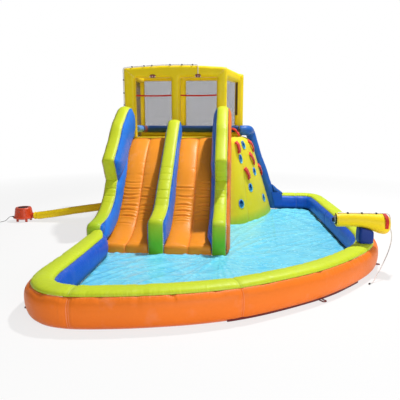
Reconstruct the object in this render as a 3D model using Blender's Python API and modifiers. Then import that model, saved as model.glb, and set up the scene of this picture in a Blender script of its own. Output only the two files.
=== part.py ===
"""Inflatable water slide: a pool, two lanes, a climbing wall, a netted tower, a water cannon and a blower.

Metres, +Z up. +X is to the right of someone who faces the slide, and +Y leads away from them.
The origin is on the ground under the middle of the tower.
"""

import math

import bmesh
import bpy
from mathutils import Matrix, Vector
from mathutils.bvhtree import BVHTree

# Clearances shared by every piece
SEAT_GAP = 0.0003
CUT_OVERRUN = 0.01
WELD_DISTANCE = 0.00001

# Tower
PLATFORM_HEIGHT = 1.394
TOWER_FRONT_Y = -0.44
TOWER_DEPTH = 1.02
TOWER_LEFT_X = -0.86
TOWER_FRONT_RIGHT_X = 0.84
TOWER_BACK_RIGHT_X = 1.13
POST_DEPTH = 0.16
LEFT_POST_WIDTH = 0.19
CENTRE_POST_WIDTH = 0.147
RIGHT_POST_WIDTH = 0.167
BACK_POST_WIDTH = 0.155
BACK_CENTRE_POST_WIDTH = 0.15
BEAM_HEIGHT = 0.158
CAGE_HEIGHT = 2.518
FRONT_BEAM_ARCH = 0.038
BACK_RAIL_HEIGHT = 0.085
BACK_BEAM_HEIGHT = 0.115
CAGE_EDGE_RADIUS = 0.035
NET_THICKNESS = 0.004
STRAP_HEIGHT = 2.07
STRAP_WIDTH = 0.025
STRAP_THICKNESS = 0.004
STRAP_SAG = 0.008
GUARD_TUBE_RADIUS = 0.061
GUARD_TUBE_HEIGHT = 1.536
GUARD_CORNER_RADIUS = 0.13

# Slide
SLIDE_RUN = 1.92
DIVIDER_WIDTH = 0.187
LANE_WIDTH = 0.605
SIDE_WALL_WIDTH = 0.17
SIDE_WALL_HEIGHT = 1.86
DIVIDER_HEIGHT = 1.655
LEFT_FRONT_HEIGHT = 0.352
RIGHT_FRONT_HEIGHT = 0.405
DIVIDER_FRONT_HEIGHT = 0.415
TOP_BAND_CROWN = 0.03
LANE_CROWN = 0.028
LANE_CROWN_STEPS = 5
LANE_LIP_HEIGHT = 0.12
# Lane surface from the deck to the lip: share of the run, then share of the deck's height over the lip
LANE_PROFILE_SHARES = (
    (0.0, 1.0), (0.07, 0.992), (0.16, 0.915), (0.26, 0.795), (0.35, 0.665), (0.44, 0.50),
    (0.55, 0.29), (0.63, 0.175), (0.71, 0.09), (0.80, 0.035), (0.90, 0.005), (0.965, 0.0),
)
# Lip: share of the run, then share of the lip's height
LANE_LIP_SHARES = ((0.985, 0.88), (0.996, 0.6), (1.0, 0.25))
# Seam along the top of a side wall: share of the run, then share of the wall's height
SIDE_BACK_SHARES = ((0.0, 0.91), (0.012, 0.955), (0.05, 0.99), (0.10, 1.0), (0.15, 0.988))
SIDE_GUARD_SHARES = (
    (0.21, 0.955), (0.29, 0.90), (0.37, 0.845), (0.45, 0.755), (0.53, 0.68), (0.595, 0.626),
    (0.625, 0.598), (0.628, 0.572), (0.605, 0.54), (0.575, 0.50), (0.553, 0.465), (0.558, 0.425),
)
# Lower stretch: share of the run, then share of the way from the front height up to the notch
SIDE_NOTCH_SHARE = 0.425
SIDE_LOWER_SHARES = (
    (0.62, 0.62), (0.685, 0.375), (0.75, 0.20), (0.83, 0.075), (0.92, 0.02), (0.975, 0.0),
)
FRONT_ROUND_SHARES = ((0.995, 0.93), (1.0, 0.80), (1.0, 0.35))
# Seam along the top of the divider: share of the run, then share of the divider's height
DIVIDER_BACK_SHARES = (
    (0.0, 0.93), (0.015, 0.975), (0.05, 1.0), (0.09, 0.985), (0.14, 0.94), (0.22, 0.865), (0.30, 0.785),
    (0.42, 0.668), (0.53, 0.555), (0.62, 0.465), (0.70, 0.385),
)
DIVIDER_LOWER_SHARES = ((0.78, 0.42), (0.87, 0.16), (0.95, 0.03), (0.978, 0.0))

# Pool
POOL_WIDTH = 3.23
POOL_LENGTH = 4.875
POOL_LEFT_X = -0.69
POOL_BACK_Y = 0.70
POOL_SEAM_HEIGHT = 0.27
POOL_CROWN = 0.038
POOL_TOP_WIDTH = 0.205
POOL_BULGE = 0.05
POOL_FLOOR_THICKNESS = 0.012
POOL_RAIL_X = 1.845
# Middle of the wall, from the slide's left wall round the pool to the climbing rail:
# shares of width and length
POOL_FRONT_SHARES = (
    (0.0, 0.78), (-0.003, 0.88), (-0.004, 0.924), (0.008, 0.962), (0.045, 0.989), (0.099, 1.0),
    (0.2136, 0.996), (0.3375, 0.982), (0.42, 0.9685), (0.515, 0.946),
)
POOL_CURVE_SHARES = (
    (0.61, 0.912), (0.7337, 0.8575), (0.815, 0.81), (0.879, 0.765), (0.93, 0.722), (0.965, 0.68),
    (0.988, 0.63), (0.998, 0.575), (1.0, 0.50),
)
POOL_CORNER_SHARES = ((1.0, 0.075), (0.9945, 0.038), (0.975, 0.0145), (0.945, 0.003), (0.90, 0.0))
# Section of a wall chamber: share of the bulge beyond the seam, then share of the seam's height
POOL_BULGE_SHARES = ((0.0, 0.0), (0.62, 0.12), (0.95, 0.36), (1.0, 0.60), (0.78, 0.83), (0.0, 1.0))
# Section of a crowned top panel: share of its half width, then share of its crown
CROWN_SHARES = (
    (-1.0, 0.06), (-0.86, 0.52), (-0.5, 0.88), (0.0, 1.0), (0.5, 0.88), (0.86, 0.52), (1.0, 0.06),
)

# Climbing wall
CLIMB_FOOT_SHARES = ((0.0, 0.0), (0.15, 0.035), (0.32, 0.12), (0.56, 0.32), (0.85, 0.68), (1.0, 1.0))
CLIMB_TOP_SHARES = ((0.0, 0.0), (0.15, 0.03), (0.35, 0.12), (0.58, 0.34), (0.85, 0.70), (1.0, 1.0))
CLIMB_FOOT_REACH = 0.83
CLIMB_FOOT_FRONT_Y = -0.82
CLIMB_TOP_REACH = 0.40
CLIMB_TOP_FRONT_Y = -0.52
CLIMB_BACK_Y = 0.565
CLIMB_TOP_ROUND = 0.09
CLIMB_BULGE = 0.035
CLIMB_FOOT_BULGE = 0.022
CLIMB_TUBES = 2
CLIMB_LEVELS = 7
CLIMB_FACE_STEPS = 12
FACE_PROBE_SHARE = 0.04
HOLE_RADIUS = 0.052
HOLE_DEPTH = 0.10
HOLE_SIDES = 14
# Foot holes and grips: share of the way along the face, then share of the height
HOLE_SHARES = ((0.59, 0.91), (0.45, 0.75), (0.725, 0.57), (0.60, 0.395), (0.81, 0.215), (0.37, 0.235))
GRIP_SHARES = ((0.36, 0.885), (0.715, 0.733), (0.555, 0.57))
GRIP_LENGTH = 0.17
GRIP_LEAN_SHARE = 0.07
GRIP_RISE = 0.035
# How far the grip stands out along its length, flat at both ends where it is sewn on
GRIP_BOW_SHARES = (0.0, 0.0, 0.45, 0.85, 1.0, 0.85, 0.45, 0.0, 0.0)
GRIP_RADIUS = 0.016
GRIP_CLEARANCES = (0.0005, 0.0003, 0.0002)
RAIL_RADIUS = 0.09
# Side rail: share of its reach, share of its step back past the tower, then share of its height
RAIL_SHARES = (
    (0.0, 0.0, 1.0), (0.03, 0.0, 1.0), (0.11, 0.0, 1.0), (0.178, 0.032, 1.0), (0.232, 0.17, 1.0),
    (0.255, 0.339, 0.999), (0.274, 0.554, 0.996), (0.292, 0.769, 0.99), (0.316, 0.938, 0.972),
    (0.352, 1.0, 0.929),
    (0.416, 1.0, 0.829), (0.53, 1.0, 0.664), (0.665, 1.0, 0.504), (0.779, 1.0, 0.352), (0.879, 1.0, 0.239),
    (0.95, 1.0, 0.145), (0.99, 1.0, 0.08), (1.0, 1.0, 0.03), (1.0, 1.0, 0.0),
)
HANDLE_RADIUS = 0.014

# Stake loops
LOOP_LENGTH = 0.075
LOOP_WIDTH = 0.05
LOOP_BAND = 0.012
LOOP_THICKNESS = 0.006
# Places along the wall, as shares of the front run and of the curve
FRONT_LOOP_SHARES = (0.36,)
CURVE_LOOP_SHARES = (0.14, 0.42)

# Water
HOSE_RADIUS = 0.006
SPRAYER_RADIUS = 0.022
SPRAYER_LENGTH = 0.034
SPRAYER_OFFSET = 0.37
CANNON_POST_WIDTH = 0.155
CANNON_POST_HEIGHT = 0.13
CANNON_POST_RADIUS = 0.02
CANNON_X = 2.40
CANNON_Y = -2.70
BARREL_CLEARANCE = 0.0005
BARREL_FRONT = 0.322
BARREL_BACK = 0.243
BARREL_RADIUS = 0.076
BARREL_BACK_RADIUS = 0.112
# Barrel: share of its length from the nozzle, then share of the step from front radius to back radius
BARREL_SHARES = (
    (0.0, -0.12), (0.02, 0.0), (0.16, -0.06), (0.36, -0.10), (0.50, 0.0), (0.62, 0.25), (0.73, 0.60),
    (0.83, 0.90), (0.91, 1.0), (0.965, 0.75), (0.99, 0.25), (1.0, -0.35),
)
# The barrel's top runs straight back as far as here
BARREL_FLUSH_SHARE = 0.9
BARREL_SIDES = 16
NOZZLE_RADIUS = 0.05
NOZZLE_TIP_RADIUS = 0.03
NOZZLE_LENGTH = 0.035
CANNON_GRIP_RADIUS = 0.007
CANNON_GRIP_SHARE = 0.90
FEED_HOSE_RADIUS = 0.005
# Hose on the barrel: shares of the barrel's length, then its bend down: shares of reach and of drop
FEED_RUN_SHARES = (0.03, 0.25, 0.5, 0.75, 0.9)
FEED_BEND_SHARES = ((0.5, 0.97), (0.82, 0.82), (0.97, 0.52))
# The hose keeps this far behind the barrel, so that the corner of its back passes
HOSE_STANDOFF = 0.0175
# Hose from the back of the barrel down to the foot of the pool, after its upright start
CANNON_HOSE_ROUTE = (
    (2.667, -2.704, 0.465), (2.674, -2.722, 0.425), (2.664, -2.765, 0.37), (2.638, -2.812, 0.31),
    (2.600, -2.865, 0.25), (2.552, -2.925, 0.19), (2.500, -2.985, 0.132), (2.450, -3.040, 0.082),
    (2.405, -3.090, 0.036), (2.376, -3.121, 0.012), (2.352, -3.145, 0.0056), (2.334, -3.163, 0.0056),
)
# Hose from the right sprayer over the front beam, down the left post and down the left wall
WATER_HOSE_ROUTE = (
    (-0.8672, -0.370, 2.440), (-0.8672, -0.370, 2.200), (-0.8672, -0.370, 1.960), (-0.8700, -0.390, 1.890),
    (-0.8756, -0.440, 1.835), (-0.8756, -0.520, 1.822), (-0.8756, -0.660, 1.815), (-0.8756, -0.820, 1.760),
    (-0.8756, -1.000, 1.650), (-0.8756, -1.140, 1.550), (-0.8756, -1.280, 1.390), (-0.8756, -1.420, 1.265),
    (-0.8756, -1.500, 1.170), (-0.8756, -1.500, 1.050), (-0.8756, -1.450, 0.900), (-0.8756, -1.440, 0.700),
    (-0.8756, -1.470, 0.450), (-0.8756, -1.480, 0.200),
)
# Red handle beside the top of the climbing wall
TOP_HANDLE_ROUTE = (
    (0.930, 0.2830, 1.540), (0.980, 0.262, 1.522), (1.020, 0.225, 1.482), (1.047, 0.185, 1.440),
    (1.055, 0.170, 1.420), (1.055, 0.170, 1.3946),
)

# Air
BLOWER_X = -2.565
BLOWER_Y = -0.72
BLOWER_RADIUS = 0.15
BLOWER_HEIGHT = 0.235
BLOWER_WALL = 0.006
BLOWER_RIM = 0.018
BLOWER_FLOOR = 0.045
INTAKE_RADIUS = 0.085
FOOT_RADIUS = 0.02
FOOT_COUNT = 4
OUTLET_RADIUS = 0.048
OUTLET_HEIGHT = 0.095
OUTLET_REACH = 0.195
MOTOR_RADIUS = 0.048
MOTOR_HEIGHT = 0.055
SHAFT_RADIUS = 0.005
SHAFT_CLEARANCE = 0.0008
IMPELLER_RADIUS = 0.105
IMPELLER_HEIGHT = 0.06
IMPELLER_BLADES = 9
BLADE_HUB_SHARE = 0.5
BLADE_MIDDLE_SHARE = 2.4
BLADE_SWEEP = math.radians(22)
BLADE_WIDTH = math.radians(7)
GRILLE_SLOTS = 12
GRILLE_THICKNESS = 0.004
GRILLE_HUB_RADIUS = 0.02
SWITCH_WIDTH = 0.014
SWITCH_RADIUS = 0.009
SWITCH_BOX = 0.034
INLET_HEIGHT = 0.305
AIR_TUBE_RADIUS = 0.063
# Air tube from the blower to the slide: share of the reach, then share of the rise
AIR_TUBE_SHARES = (
    (0.0, 0.0), (0.05, 0.02), (0.20, 0.17), (0.45, 0.47), (0.75, 0.79), (0.93, 0.97), (1.0, 1.0),
)

# Power cord
CORD_DIAMETER = 0.008
COIL_TURNS = 6
COIL_POINTS = 24
COIL_PITCH = 0.0088
COIL_TURN_RADIUS = 0.042
COIL_CENTRE = (-2.985, -0.965)
COIL_TAIL = 0.05
# End of the coil into the plug: share of its length, then share of its rise to the plug's middle
COIL_TAIL_SHARES = ((0.2, 0.1), (0.45, 0.5), (0.7, 0.95), (0.85, 1.0), (1.0, 1.0))
LEAST_COIL_GAP = 0.0004
GLAND_LENGTH = 0.05
GLAND_RADIUS = 0.011
GLAND_TIP_RADIUS = 0.0065
CORD_EXIT_HEIGHT = 0.069
PLUG_LENGTH = 0.05
PLUG_RADIUS = 0.016
PIN_LENGTH = 0.018
# Cord from the gland down to the ground and along it to the coil, without its straight ends
CORD_ROUTE = (
    (-2.810, -0.7215, 0.0655), (-2.829, -0.727, 0.054), (-2.845, -0.738, 0.036), (-2.858, -0.753, 0.018),
    (-2.869, -0.774, 0.0075), (-2.880, -0.802, 0.0046), (-2.893, -0.836, 0.0046), (-2.912, -0.868, 0.0046),
    (-2.938, -0.894, 0.0046), (-2.956, -0.9065, 0.0046),
)

# Sizes that follow from the ones above
TOWER_BACK_Y = TOWER_FRONT_Y + TOWER_DEPTH
POST_FRONT_Y = TOWER_FRONT_Y + TOP_BAND_CROWN + SEAT_GAP
POST_BACK_Y = POST_FRONT_Y + POST_DEPTH
BACK_FRAME_Y = TOWER_BACK_Y - POST_DEPTH
DECK_SEAT = PLATFORM_HEIGHT + SEAT_GAP
BEAM_UNDERSIDE = CAGE_HEIGHT - BEAM_HEIGHT
LANE_INNER_X = DIVIDER_WIDTH / 2 + SEAT_GAP
LANE_OUTER_X = DIVIDER_WIDTH / 2 + LANE_WIDTH
WALL_INNER_X = LANE_OUTER_X + SEAT_GAP
WALL_OUTER_X = WALL_INNER_X + SIDE_WALL_WIDTH
SLIDE_BACK_Y = TOWER_FRONT_Y - SEAT_GAP
SLIDE_FRONT_Y = SLIDE_BACK_Y - SLIDE_RUN
CLIMB_LEFT_X = WALL_OUTER_X + SEAT_GAP
RAIL_Y = CLIMB_BACK_Y + RAIL_RADIUS + SEAT_GAP
CANNON_BASE = POOL_SEAM_HEIGHT + POOL_CROWN + 2 * SEAT_GAP

COLOURS = {
    "orange": (0.90, 0.25, 0.02), "lane": (0.95, 0.33, 0.05), "lime": (0.55, 0.78, 0.06),
    "blue": (0.02, 0.10, 0.55), "yellow": (0.85, 0.62, 0.02), "cyan": (0.20, 0.65, 0.90),
    "net": (0.55, 0.56, 0.60), "red": (0.65, 0.03, 0.01), "webbing": (0.28, 0.02, 0.02),
    "hose": (0.30, 0.31, 0.33), "black": (0.01, 0.01, 0.012), "housing": (0.72, 0.05, 0.02),
    "motor": (0.25, 0.25, 0.27), "sprayer": (0.30, 0.06, 0.03), "cord": (0.03, 0.03, 0.03),
}


def clear_scene():
    """Removes what the scene starts with."""
    for obj in list(bpy.data.objects):
        bpy.data.objects.remove(obj)


def x_ring(x, y, z, radius, sides):
    """Circle of points about an axis along X."""
    angles = [2 * math.pi * k / sides for k in range(sides)]
    return [(x, y + radius * math.cos(angle), z + radius * math.sin(angle)) for angle in angles]


def new_collection(name, hidden=False):
    """Makes a collection in the scene."""
    made = bpy.data.collections.new(name)
    made.hide_render = hidden
    bpy.context.scene.collection.children.link(made)
    return made


def finish(obj, colour, roughness=0.45, metallic=0.0):
    """Gives a piece its own material."""
    material = bpy.data.materials.new(obj.name)
    material.use_nodes = True
    shader = material.node_tree.nodes["Principled BSDF"]
    shader.inputs["Base Color"].default_value = (*COLOURS[colour], 1.0)
    shader.inputs["Roughness"].default_value = roughness
    shader.inputs["Metallic"].default_value = metallic
    obj.data.materials.append(material)
    return obj


def place(name, data, colour, roughness=0.45, metallic=0.0):
    """Makes a named piece from mesh or curve data."""
    obj = bpy.data.objects.new(name, data)
    PARTS.objects.link(obj)
    return finish(obj, colour, roughness, metallic)


def mesh_from(name, build):
    """Makes a mesh with a bmesh builder function."""
    shape = bmesh.new()
    build(shape)
    bmesh.ops.recalc_face_normals(shape, faces=shape.faces)
    mesh = bpy.data.meshes.new(name)
    shape.to_mesh(mesh)
    shape.free()
    mesh.shade_smooth()
    mesh.set_sharp_from_angle(angle=math.radians(40))
    return mesh


def loft(name, rings, colour, roughness=0.45):
    """Joins rings of equal point count into one closed piece with flat ends."""

    def build(shape):
        loops = [[shape.verts.new(point) for point in ring] for ring in rings]
        count = len(rings[0])
        for first, second in zip(loops, loops[1:]):
            for i in range(count):
                j = (i + 1) % count
                shape.faces.new((first[i], first[j], second[j], second[i]))
        shape.faces.new(loops[0])
        shape.faces.new(loops[-1])

    return place(name, mesh_from(name, build), colour, roughness)


def cutter(name, data):
    """Makes a hidden tool for a Boolean."""
    obj = bpy.data.objects.new(name, data)
    obj.hide_render = True
    obj.display_type = "WIRE"
    CUTTERS.objects.link(obj)
    return obj


def boolean(obj, tool, operation):
    """Cuts with a tool, or joins it."""
    modifier = obj.modifiers.new(tool.name, "BOOLEAN")
    modifier.operation = operation
    modifier.solver = "EXACT"
    modifier.object = tool


def cylinder_mesh(name, radius, length, sides, centre, axis):
    """Makes a closed cylinder about a centre, along an axis."""
    turn = Vector((0, 0, 1)).rotation_difference(Vector(axis)).to_matrix().to_4x4()

    def build(shape):
        bmesh.ops.create_cone(
            shape, cap_ends=True, segments=sides, radius1=radius, radius2=radius, depth=length,
            matrix=Matrix.Translation(centre) @ turn,
        )

    return mesh_from(name, build)


def box_mesh(name, low, high):
    """Makes a closed box between two corners."""
    size = [b - a for a, b in zip(low, high)]
    middle = [(a + b) / 2 for a, b in zip(low, high)]

    def build(shape):
        bmesh.ops.create_cube(
            shape, size=1, matrix=Matrix.Translation(middle) @ Matrix.Diagonal((*size, 1)),
        )

    return mesh_from(name, build)


def round_edges(obj, width, segments=2, angle=50):
    """Rounds the sharp edges of a piece, whose caps are welded first."""
    weld = obj.modifiers.new("Weld", "WELD")
    weld.merge_threshold = WELD_DISTANCE
    bevel = obj.modifiers.new("Round", "BEVEL")
    bevel.width = width
    bevel.segments = segments
    bevel.limit_method = "ANGLE"
    bevel.angle_limit = math.radians(angle)
    return obj


def flat_piece(name, outlines, thickness, origin, turn, colour, roughness=0.45):
    """Extrudes flat outlines, the first outer and the rest holes, about the middle of their plane."""
    curve = bpy.data.curves.new(name, "CURVE")
    curve.dimensions = "2D"
    curve.fill_mode = "BOTH"
    curve.extrude = thickness / 2
    for outline in outlines:
        spline = curve.splines.new("POLY")
        spline.points.add(len(outline) - 1)
        for point, (x, y) in zip(spline.points, outline):
            point.co = (x, y, 0, 1)
        spline.use_cyclic_u = True
    obj = place(name, curve, colour, roughness)
    obj.location = origin
    obj.rotation_euler = turn
    return obj


# A flat outline's own X and Y become the first and second axis named here
PLAN = (0, 0, 0)
FRONT_VIEW = (math.pi / 2, 0, 0)
SIDE_VIEW = (math.pi / 2, 0, math.pi / 2)


def tube(name, points, radius, colour, resolution=2, roughness=0.45):
    """Makes a round tube along a list of points."""
    curve = bpy.data.curves.new(name, "CURVE")
    curve.dimensions = "3D"
    curve.bevel_depth = radius
    curve.bevel_resolution = resolution
    curve.use_fill_caps = True
    spline = curve.splines.new("POLY")
    spline.points.add(len(points) - 1)
    for point, place_at in zip(spline.points, points):
        point.co = (*place_at, 1)
    return place(name, curve, colour, roughness)


def smooth(points, steps):
    """Reads a smooth curve through the points, with so many steps between each two."""
    ends = [2 * Vector(points[0]) - Vector(points[1])]
    ends += [Vector(p) for p in points]
    ends += [2 * Vector(points[-1]) - Vector(points[-2])]
    line = []
    for before, start, end, after in zip(ends, ends[1:], ends[2:], ends[3:]):
        knots = [0.0]
        for one, two in ((before, start), (start, end), (end, after)):
            knots.append(knots[-1] + max((two - one).length, SEAT_GAP) ** 0.5)
        for step in range(steps):
            t = knots[1] + (knots[2] - knots[1]) * step / steps
            rows = [before, start, end, after]
            for level in range(1, 4):
                rows = [
                    rows[i].lerp(rows[i + 1], blend_share(t, knots, i, level))
                    for i in range(len(rows) - 1)
                ]
            line.append(rows[0])
    return line + [ends[-2]]


def blend_share(t, knots, i, level):
    """Share of the second point in one blend of the smooth curve."""
    low = i if level == 1 else (i if level == 2 else 1)
    high = i + 1 if level == 1 else (i + 2 if level == 2 else 2)
    return (t - knots[low]) / (knots[high] - knots[low])


def even_line(points, spacing):
    """Reads points an even distance apart along a curve through the given points."""
    fine = smooth(points, 24)
    lengths = [0.0]
    for one, two in zip(fine, fine[1:]):
        lengths.append(lengths[-1] + (two - one).length)
    count = max(2, round(lengths[-1] / spacing))
    line = []
    for k in range(count + 1):
        target = lengths[-1] * k / count
        i = max(j for j in range(len(lengths)) if lengths[j] <= target + WELD_DISTANCE)
        if i == len(fine) - 1:
            line.append(fine[-1])
            continue
        share = (target - lengths[i]) / (lengths[i + 1] - lengths[i])
        line.append(fine[i].lerp(fine[i + 1], share))
    return line


def side_directions(line):
    """Unit vectors to the right of a flat line's direction of travel, one for each point."""
    sides = []
    for i in range(len(line)):
        ahead = (line[min(i + 1, len(line) - 1)] - line[max(i - 1, 0)]).normalized()
        sides.append(Vector((ahead[1], -ahead[0])))
    return sides


# Pool


def pool_plan():
    """Middle line of the pool wall in two runs, which share their meeting point."""

    def spot(share):
        return Vector((POOL_LEFT_X + share[0] * POOL_WIDTH, POOL_BACK_Y - share[1] * POOL_LENGTH))

    start = Vector((POOL_LEFT_X, SLIDE_FRONT_Y - TOP_BAND_CROWN - 2 * SEAT_GAP))
    end = Vector((POOL_RAIL_X, POOL_BACK_Y))
    front = [start] + [spot(share) for share in POOL_FRONT_SHARES]
    rest = [spot(share) for share in POOL_CURVE_SHARES + POOL_CORNER_SHARES] + [end]
    seam = len(front) - 1
    whole = front + rest
    line = smooth(whole, 2)
    return line[: 2 * seam + 1], line[2 * seam:], side_directions(line), 2 * seam


def wall_section(kind):
    """Section of one wall panel: distance outward from the wall's middle, then height."""
    half = POOL_TOP_WIDTH / 2
    if kind == "top":
        base = [(half, POOL_SEAM_HEIGHT + SEAT_GAP), (-half, POOL_SEAM_HEIGHT + SEAT_GAP)]
        crown = [(half * a, POOL_SEAM_HEIGHT + SEAT_GAP + POOL_CROWN * b) for a, b in CROWN_SHARES]
        return base + crown
    side = 1 if kind == "outer" else -1
    bulge = [(side * (half + POOL_BULGE * a), POOL_SEAM_HEIGHT * b) for a, b in POOL_BULGE_SHARES]
    middle = side * SEAT_GAP / 2
    return [(middle, 0)] + bulge + [(middle, POOL_SEAM_HEIGHT)]


def pool_wall():
    """Wall of the pool: an outer, a top and an inner panel in each run."""
    front, rest, sides, seam = pool_plan()
    runs = {"pool_front": (front, sides[: seam + 1]), "pool_side": (rest, sides[seam:])}
    colours = {"outer": "orange", "top": "lime", "inner": "blue"}
    for run, (line, directions) in runs.items():
        line = [point.copy() for point in line]
        if run == "pool_side":
            ahead = (line[1] - line[0]).normalized()
            line[0] += ahead * SEAT_GAP * 2
        for kind, colour in colours.items():
            rings = []
            for point, side in zip(line, directions):
                ring = [(*(point + side * out), height) for out, height in wall_section(kind)]
                rings.append(ring)
            loft(f"{run}_{kind}", rings, colour)


def pool_floor():
    """Liner on the ground inside the walls, up to the slide and the climbing wall."""
    front, rest, sides, seam = pool_plan()
    inset = POOL_TOP_WIDTH / 2 + POOL_BULGE * POOL_BULGE_SHARES[1][0] + SEAT_GAP
    line = front + rest[1:]
    gap = SEAT_GAP
    back = CLIMB_BACK_Y - gap
    outline = []
    for point, side in zip(line, sides):
        x, y = point - side * inset
        outline.append((x, min(y, back)))
    foot = climb_line(0, CLIMB_FOOT_BULGE)
    outline += [(x + 2 * gap, min(y, back) - 2 * gap) for x, y in reversed(foot)]
    outline += [(CLIMB_LEFT_X, SLIDE_FRONT_Y - TOP_BAND_CROWN - gap)]
    thickness = POOL_FLOOR_THICKNESS
    flat_piece("pool_floor", [outline], thickness, (0, 0, thickness / 2), PLAN, "cyan", 0.25)


def stake_loops():
    """Webbing loops on the ground at the foot of the wall."""
    front, rest, sides, seam = pool_plan()
    bulge, rise = POOL_BULGE_SHARES[1]
    lean = POOL_BULGE * bulge * LOOP_THICKNESS / (rise * POOL_SEAM_HEIGHT)
    foot = POOL_TOP_WIDTH / 2 + lean + SEAT_GAP
    spots = [(front, sides, share) for share in FRONT_LOOP_SHARES]
    spots += [(rest, sides[seam:], share) for share in CURVE_LOOP_SHARES]
    for number, (line, directions, share) in enumerate(spots, 1):
        i = round(share * (len(line) - 1))
        start = line[i] + directions[i] * foot
        angle = math.atan2(directions[i][1], directions[i][0])
        half, inner = LOOP_WIDTH / 2, LOOP_WIDTH / 2 - LOOP_BAND
        outer = [(0, -half), (LOOP_LENGTH * 0.8, -half), (LOOP_LENGTH, -half * 0.5)]
        outer += [(LOOP_LENGTH, half * 0.5), (LOOP_LENGTH * 0.8, half), (0, half)]
        hole = [(LOOP_BAND, -inner), (LOOP_LENGTH - LOOP_BAND, -inner * 0.5)]
        hole += [(LOOP_LENGTH - LOOP_BAND, inner * 0.5), (LOOP_BAND, inner)]
        flat_piece(
            f"stake_loop_{number}", [outer, hole], LOOP_THICKNESS, (*start, LOOP_THICKNESS / 2),
            (0, 0, angle), "webbing", 0.8,
        )


# Slide


def lane(name, left_x, right_x):
    """One lane: two air tubes side by side from the deck down to the lip."""
    rise = PLATFORM_HEIGHT - LANE_LIP_HEIGHT
    points = [(a, LANE_LIP_HEIGHT + rise * b) for a, b in LANE_PROFILE_SHARES]
    points += [(a, LANE_LIP_HEIGHT * b) for a, b in LANE_LIP_SHARES]
    line = smooth([(SLIDE_BACK_Y - a * SLIDE_RUN, z) for a, z in points], 2)
    half = (right_x - left_x) / 2
    steps = LANE_CROWN_STEPS
    rings = []
    for y, z in line:
        ring = [(left_x, y, 0), (right_x, y, 0)]
        level = max(z - LANE_CROWN, z * 0.5)
        for tube_x in (right_x - half, left_x):
            for k in range(steps, -1 if tube_x == left_x else 0, -1):
                share = k / steps
                lift = (z - level) * math.sqrt(max(0.0, 1 - (2 * share - 1) ** 2))
                ring.append((tube_x + half * share, y, level + lift))
        rings.append(ring)
    loft(name, rings, "lane")


def side_seam(front_height):
    """Seam along the top of a side wall, from the deck to the ground in front: Y, then height."""
    notch = SIDE_NOTCH_SHARE * SIDE_WALL_HEIGHT
    points = [(a, b * SIDE_WALL_HEIGHT) for a, b in SIDE_BACK_SHARES + SIDE_GUARD_SHARES]
    points += [(a, front_height + (notch - front_height) * b) for a, b in SIDE_LOWER_SHARES]
    points += [(a, front_height * b) for a, b in FRONT_ROUND_SHARES]
    return seam_line(points)


def divider_seam():
    """Seam along the top of the divider, from the deck to the ground in front: Y, then height."""
    points = [(a, b * DIVIDER_HEIGHT) for a, b in DIVIDER_BACK_SHARES]
    drop = DIVIDER_BACK_SHARES[-1][1] * DIVIDER_HEIGHT - DIVIDER_FRONT_HEIGHT
    points += [(a, DIVIDER_FRONT_HEIGHT + drop * b) for a, b in DIVIDER_LOWER_SHARES]
    points += [(a, DIVIDER_FRONT_HEIGHT * b) for a, b in FRONT_ROUND_SHARES]
    return seam_line(points)


def seam_line(points):
    """Places a seam's points in Y, and adds its upright ends at the tower and in front."""
    ends = [(0.0, DECK_SEAT + TOP_BAND_CROWN)] + points + [(1.0, 0.0)]
    line = [Vector((SLIDE_BACK_Y - a * SLIDE_RUN, z)) for a, z in ends]
    curve = [Vector((max(y, SLIDE_FRONT_Y), z)) for y, z in smooth(line[1:-1], 2)]
    return [line[0]] + curve + [line[-1]]


def upright_panel(name, seam, low_x, high_x, colour):
    """Side panel of a wall: the outline under the seam."""
    outline = [(SLIDE_BACK_Y, 0)] + [tuple(point) for point in seam]
    middle = (low_x + high_x) / 2
    flat_piece(name, [outline], high_x - low_x, (middle, 0, 0), SIDE_VIEW, colour)


def top_band(name, seam, low_x, high_x):
    """Crowned panel that follows a wall's seam over its top and down its front."""
    middle, half = (low_x + high_x) / 2, (high_x - low_x) / 2
    rings = []
    for i, point in enumerate(seam):
        ahead = (seam[min(i + 1, len(seam) - 1)] - seam[max(i - 1, 0)]).normalized()
        if i in (0, len(seam) - 1):
            ahead = Vector((0, 1 if i == 0 else -1))
        out = Vector((ahead[1], -ahead[0]))
        section = [(half, SEAT_GAP), (-half, SEAT_GAP)]
        section += [(half * a, SEAT_GAP + (TOP_BAND_CROWN - SEAT_GAP) * b) for a, b in CROWN_SHARES]
        rings.append([(middle + x, *(point + out * h)) for x, h in section])
    loft(name, rings, "lime")


def slide_walls():
    """The two stepped side walls and the divider between the lanes."""
    half_gap = SEAT_GAP / 2
    middle = (WALL_INNER_X + WALL_OUTER_X) / 2
    for side, sign in (("left", -1), ("right", 1)):
        seam = side_seam(LEFT_FRONT_HEIGHT if side == "left" else RIGHT_FRONT_HEIGHT)
        inner = sorted((sign * WALL_INNER_X, sign * (middle - half_gap)))
        outer = sorted((sign * (middle + half_gap), sign * WALL_OUTER_X))
        whole = sorted((sign * WALL_INNER_X, sign * WALL_OUTER_X))
        upright_panel(f"slide_{side}_inner", seam, *inner, "blue")
        upright_panel(f"slide_{side}_outer", seam, *outer, "orange")
        top_band(f"slide_{side}_top", seam, *whole)
    seam = divider_seam()
    half = DIVIDER_WIDTH / 2
    upright_panel("divider_left", seam, -half, -half_gap, "blue")
    upright_panel("divider_right", seam, half_gap, half, "blue")
    top_band("divider_top", seam, -half, half)


# Tower


def tower_base():
    """Inflated block under the deck, with a slanted right side."""
    front, back = TOWER_FRONT_Y, TOWER_BACK_Y
    left, right, height = TOWER_LEFT_X, TOWER_FRONT_RIGHT_X, PLATFORM_HEIGHT
    outline = [(left, front), (right, front), (TOWER_BACK_RIGHT_X, back), (left, back)]
    flat_piece("tower_base", [outline], height, (0, 0, height / 2), PLAN, "yellow")


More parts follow.
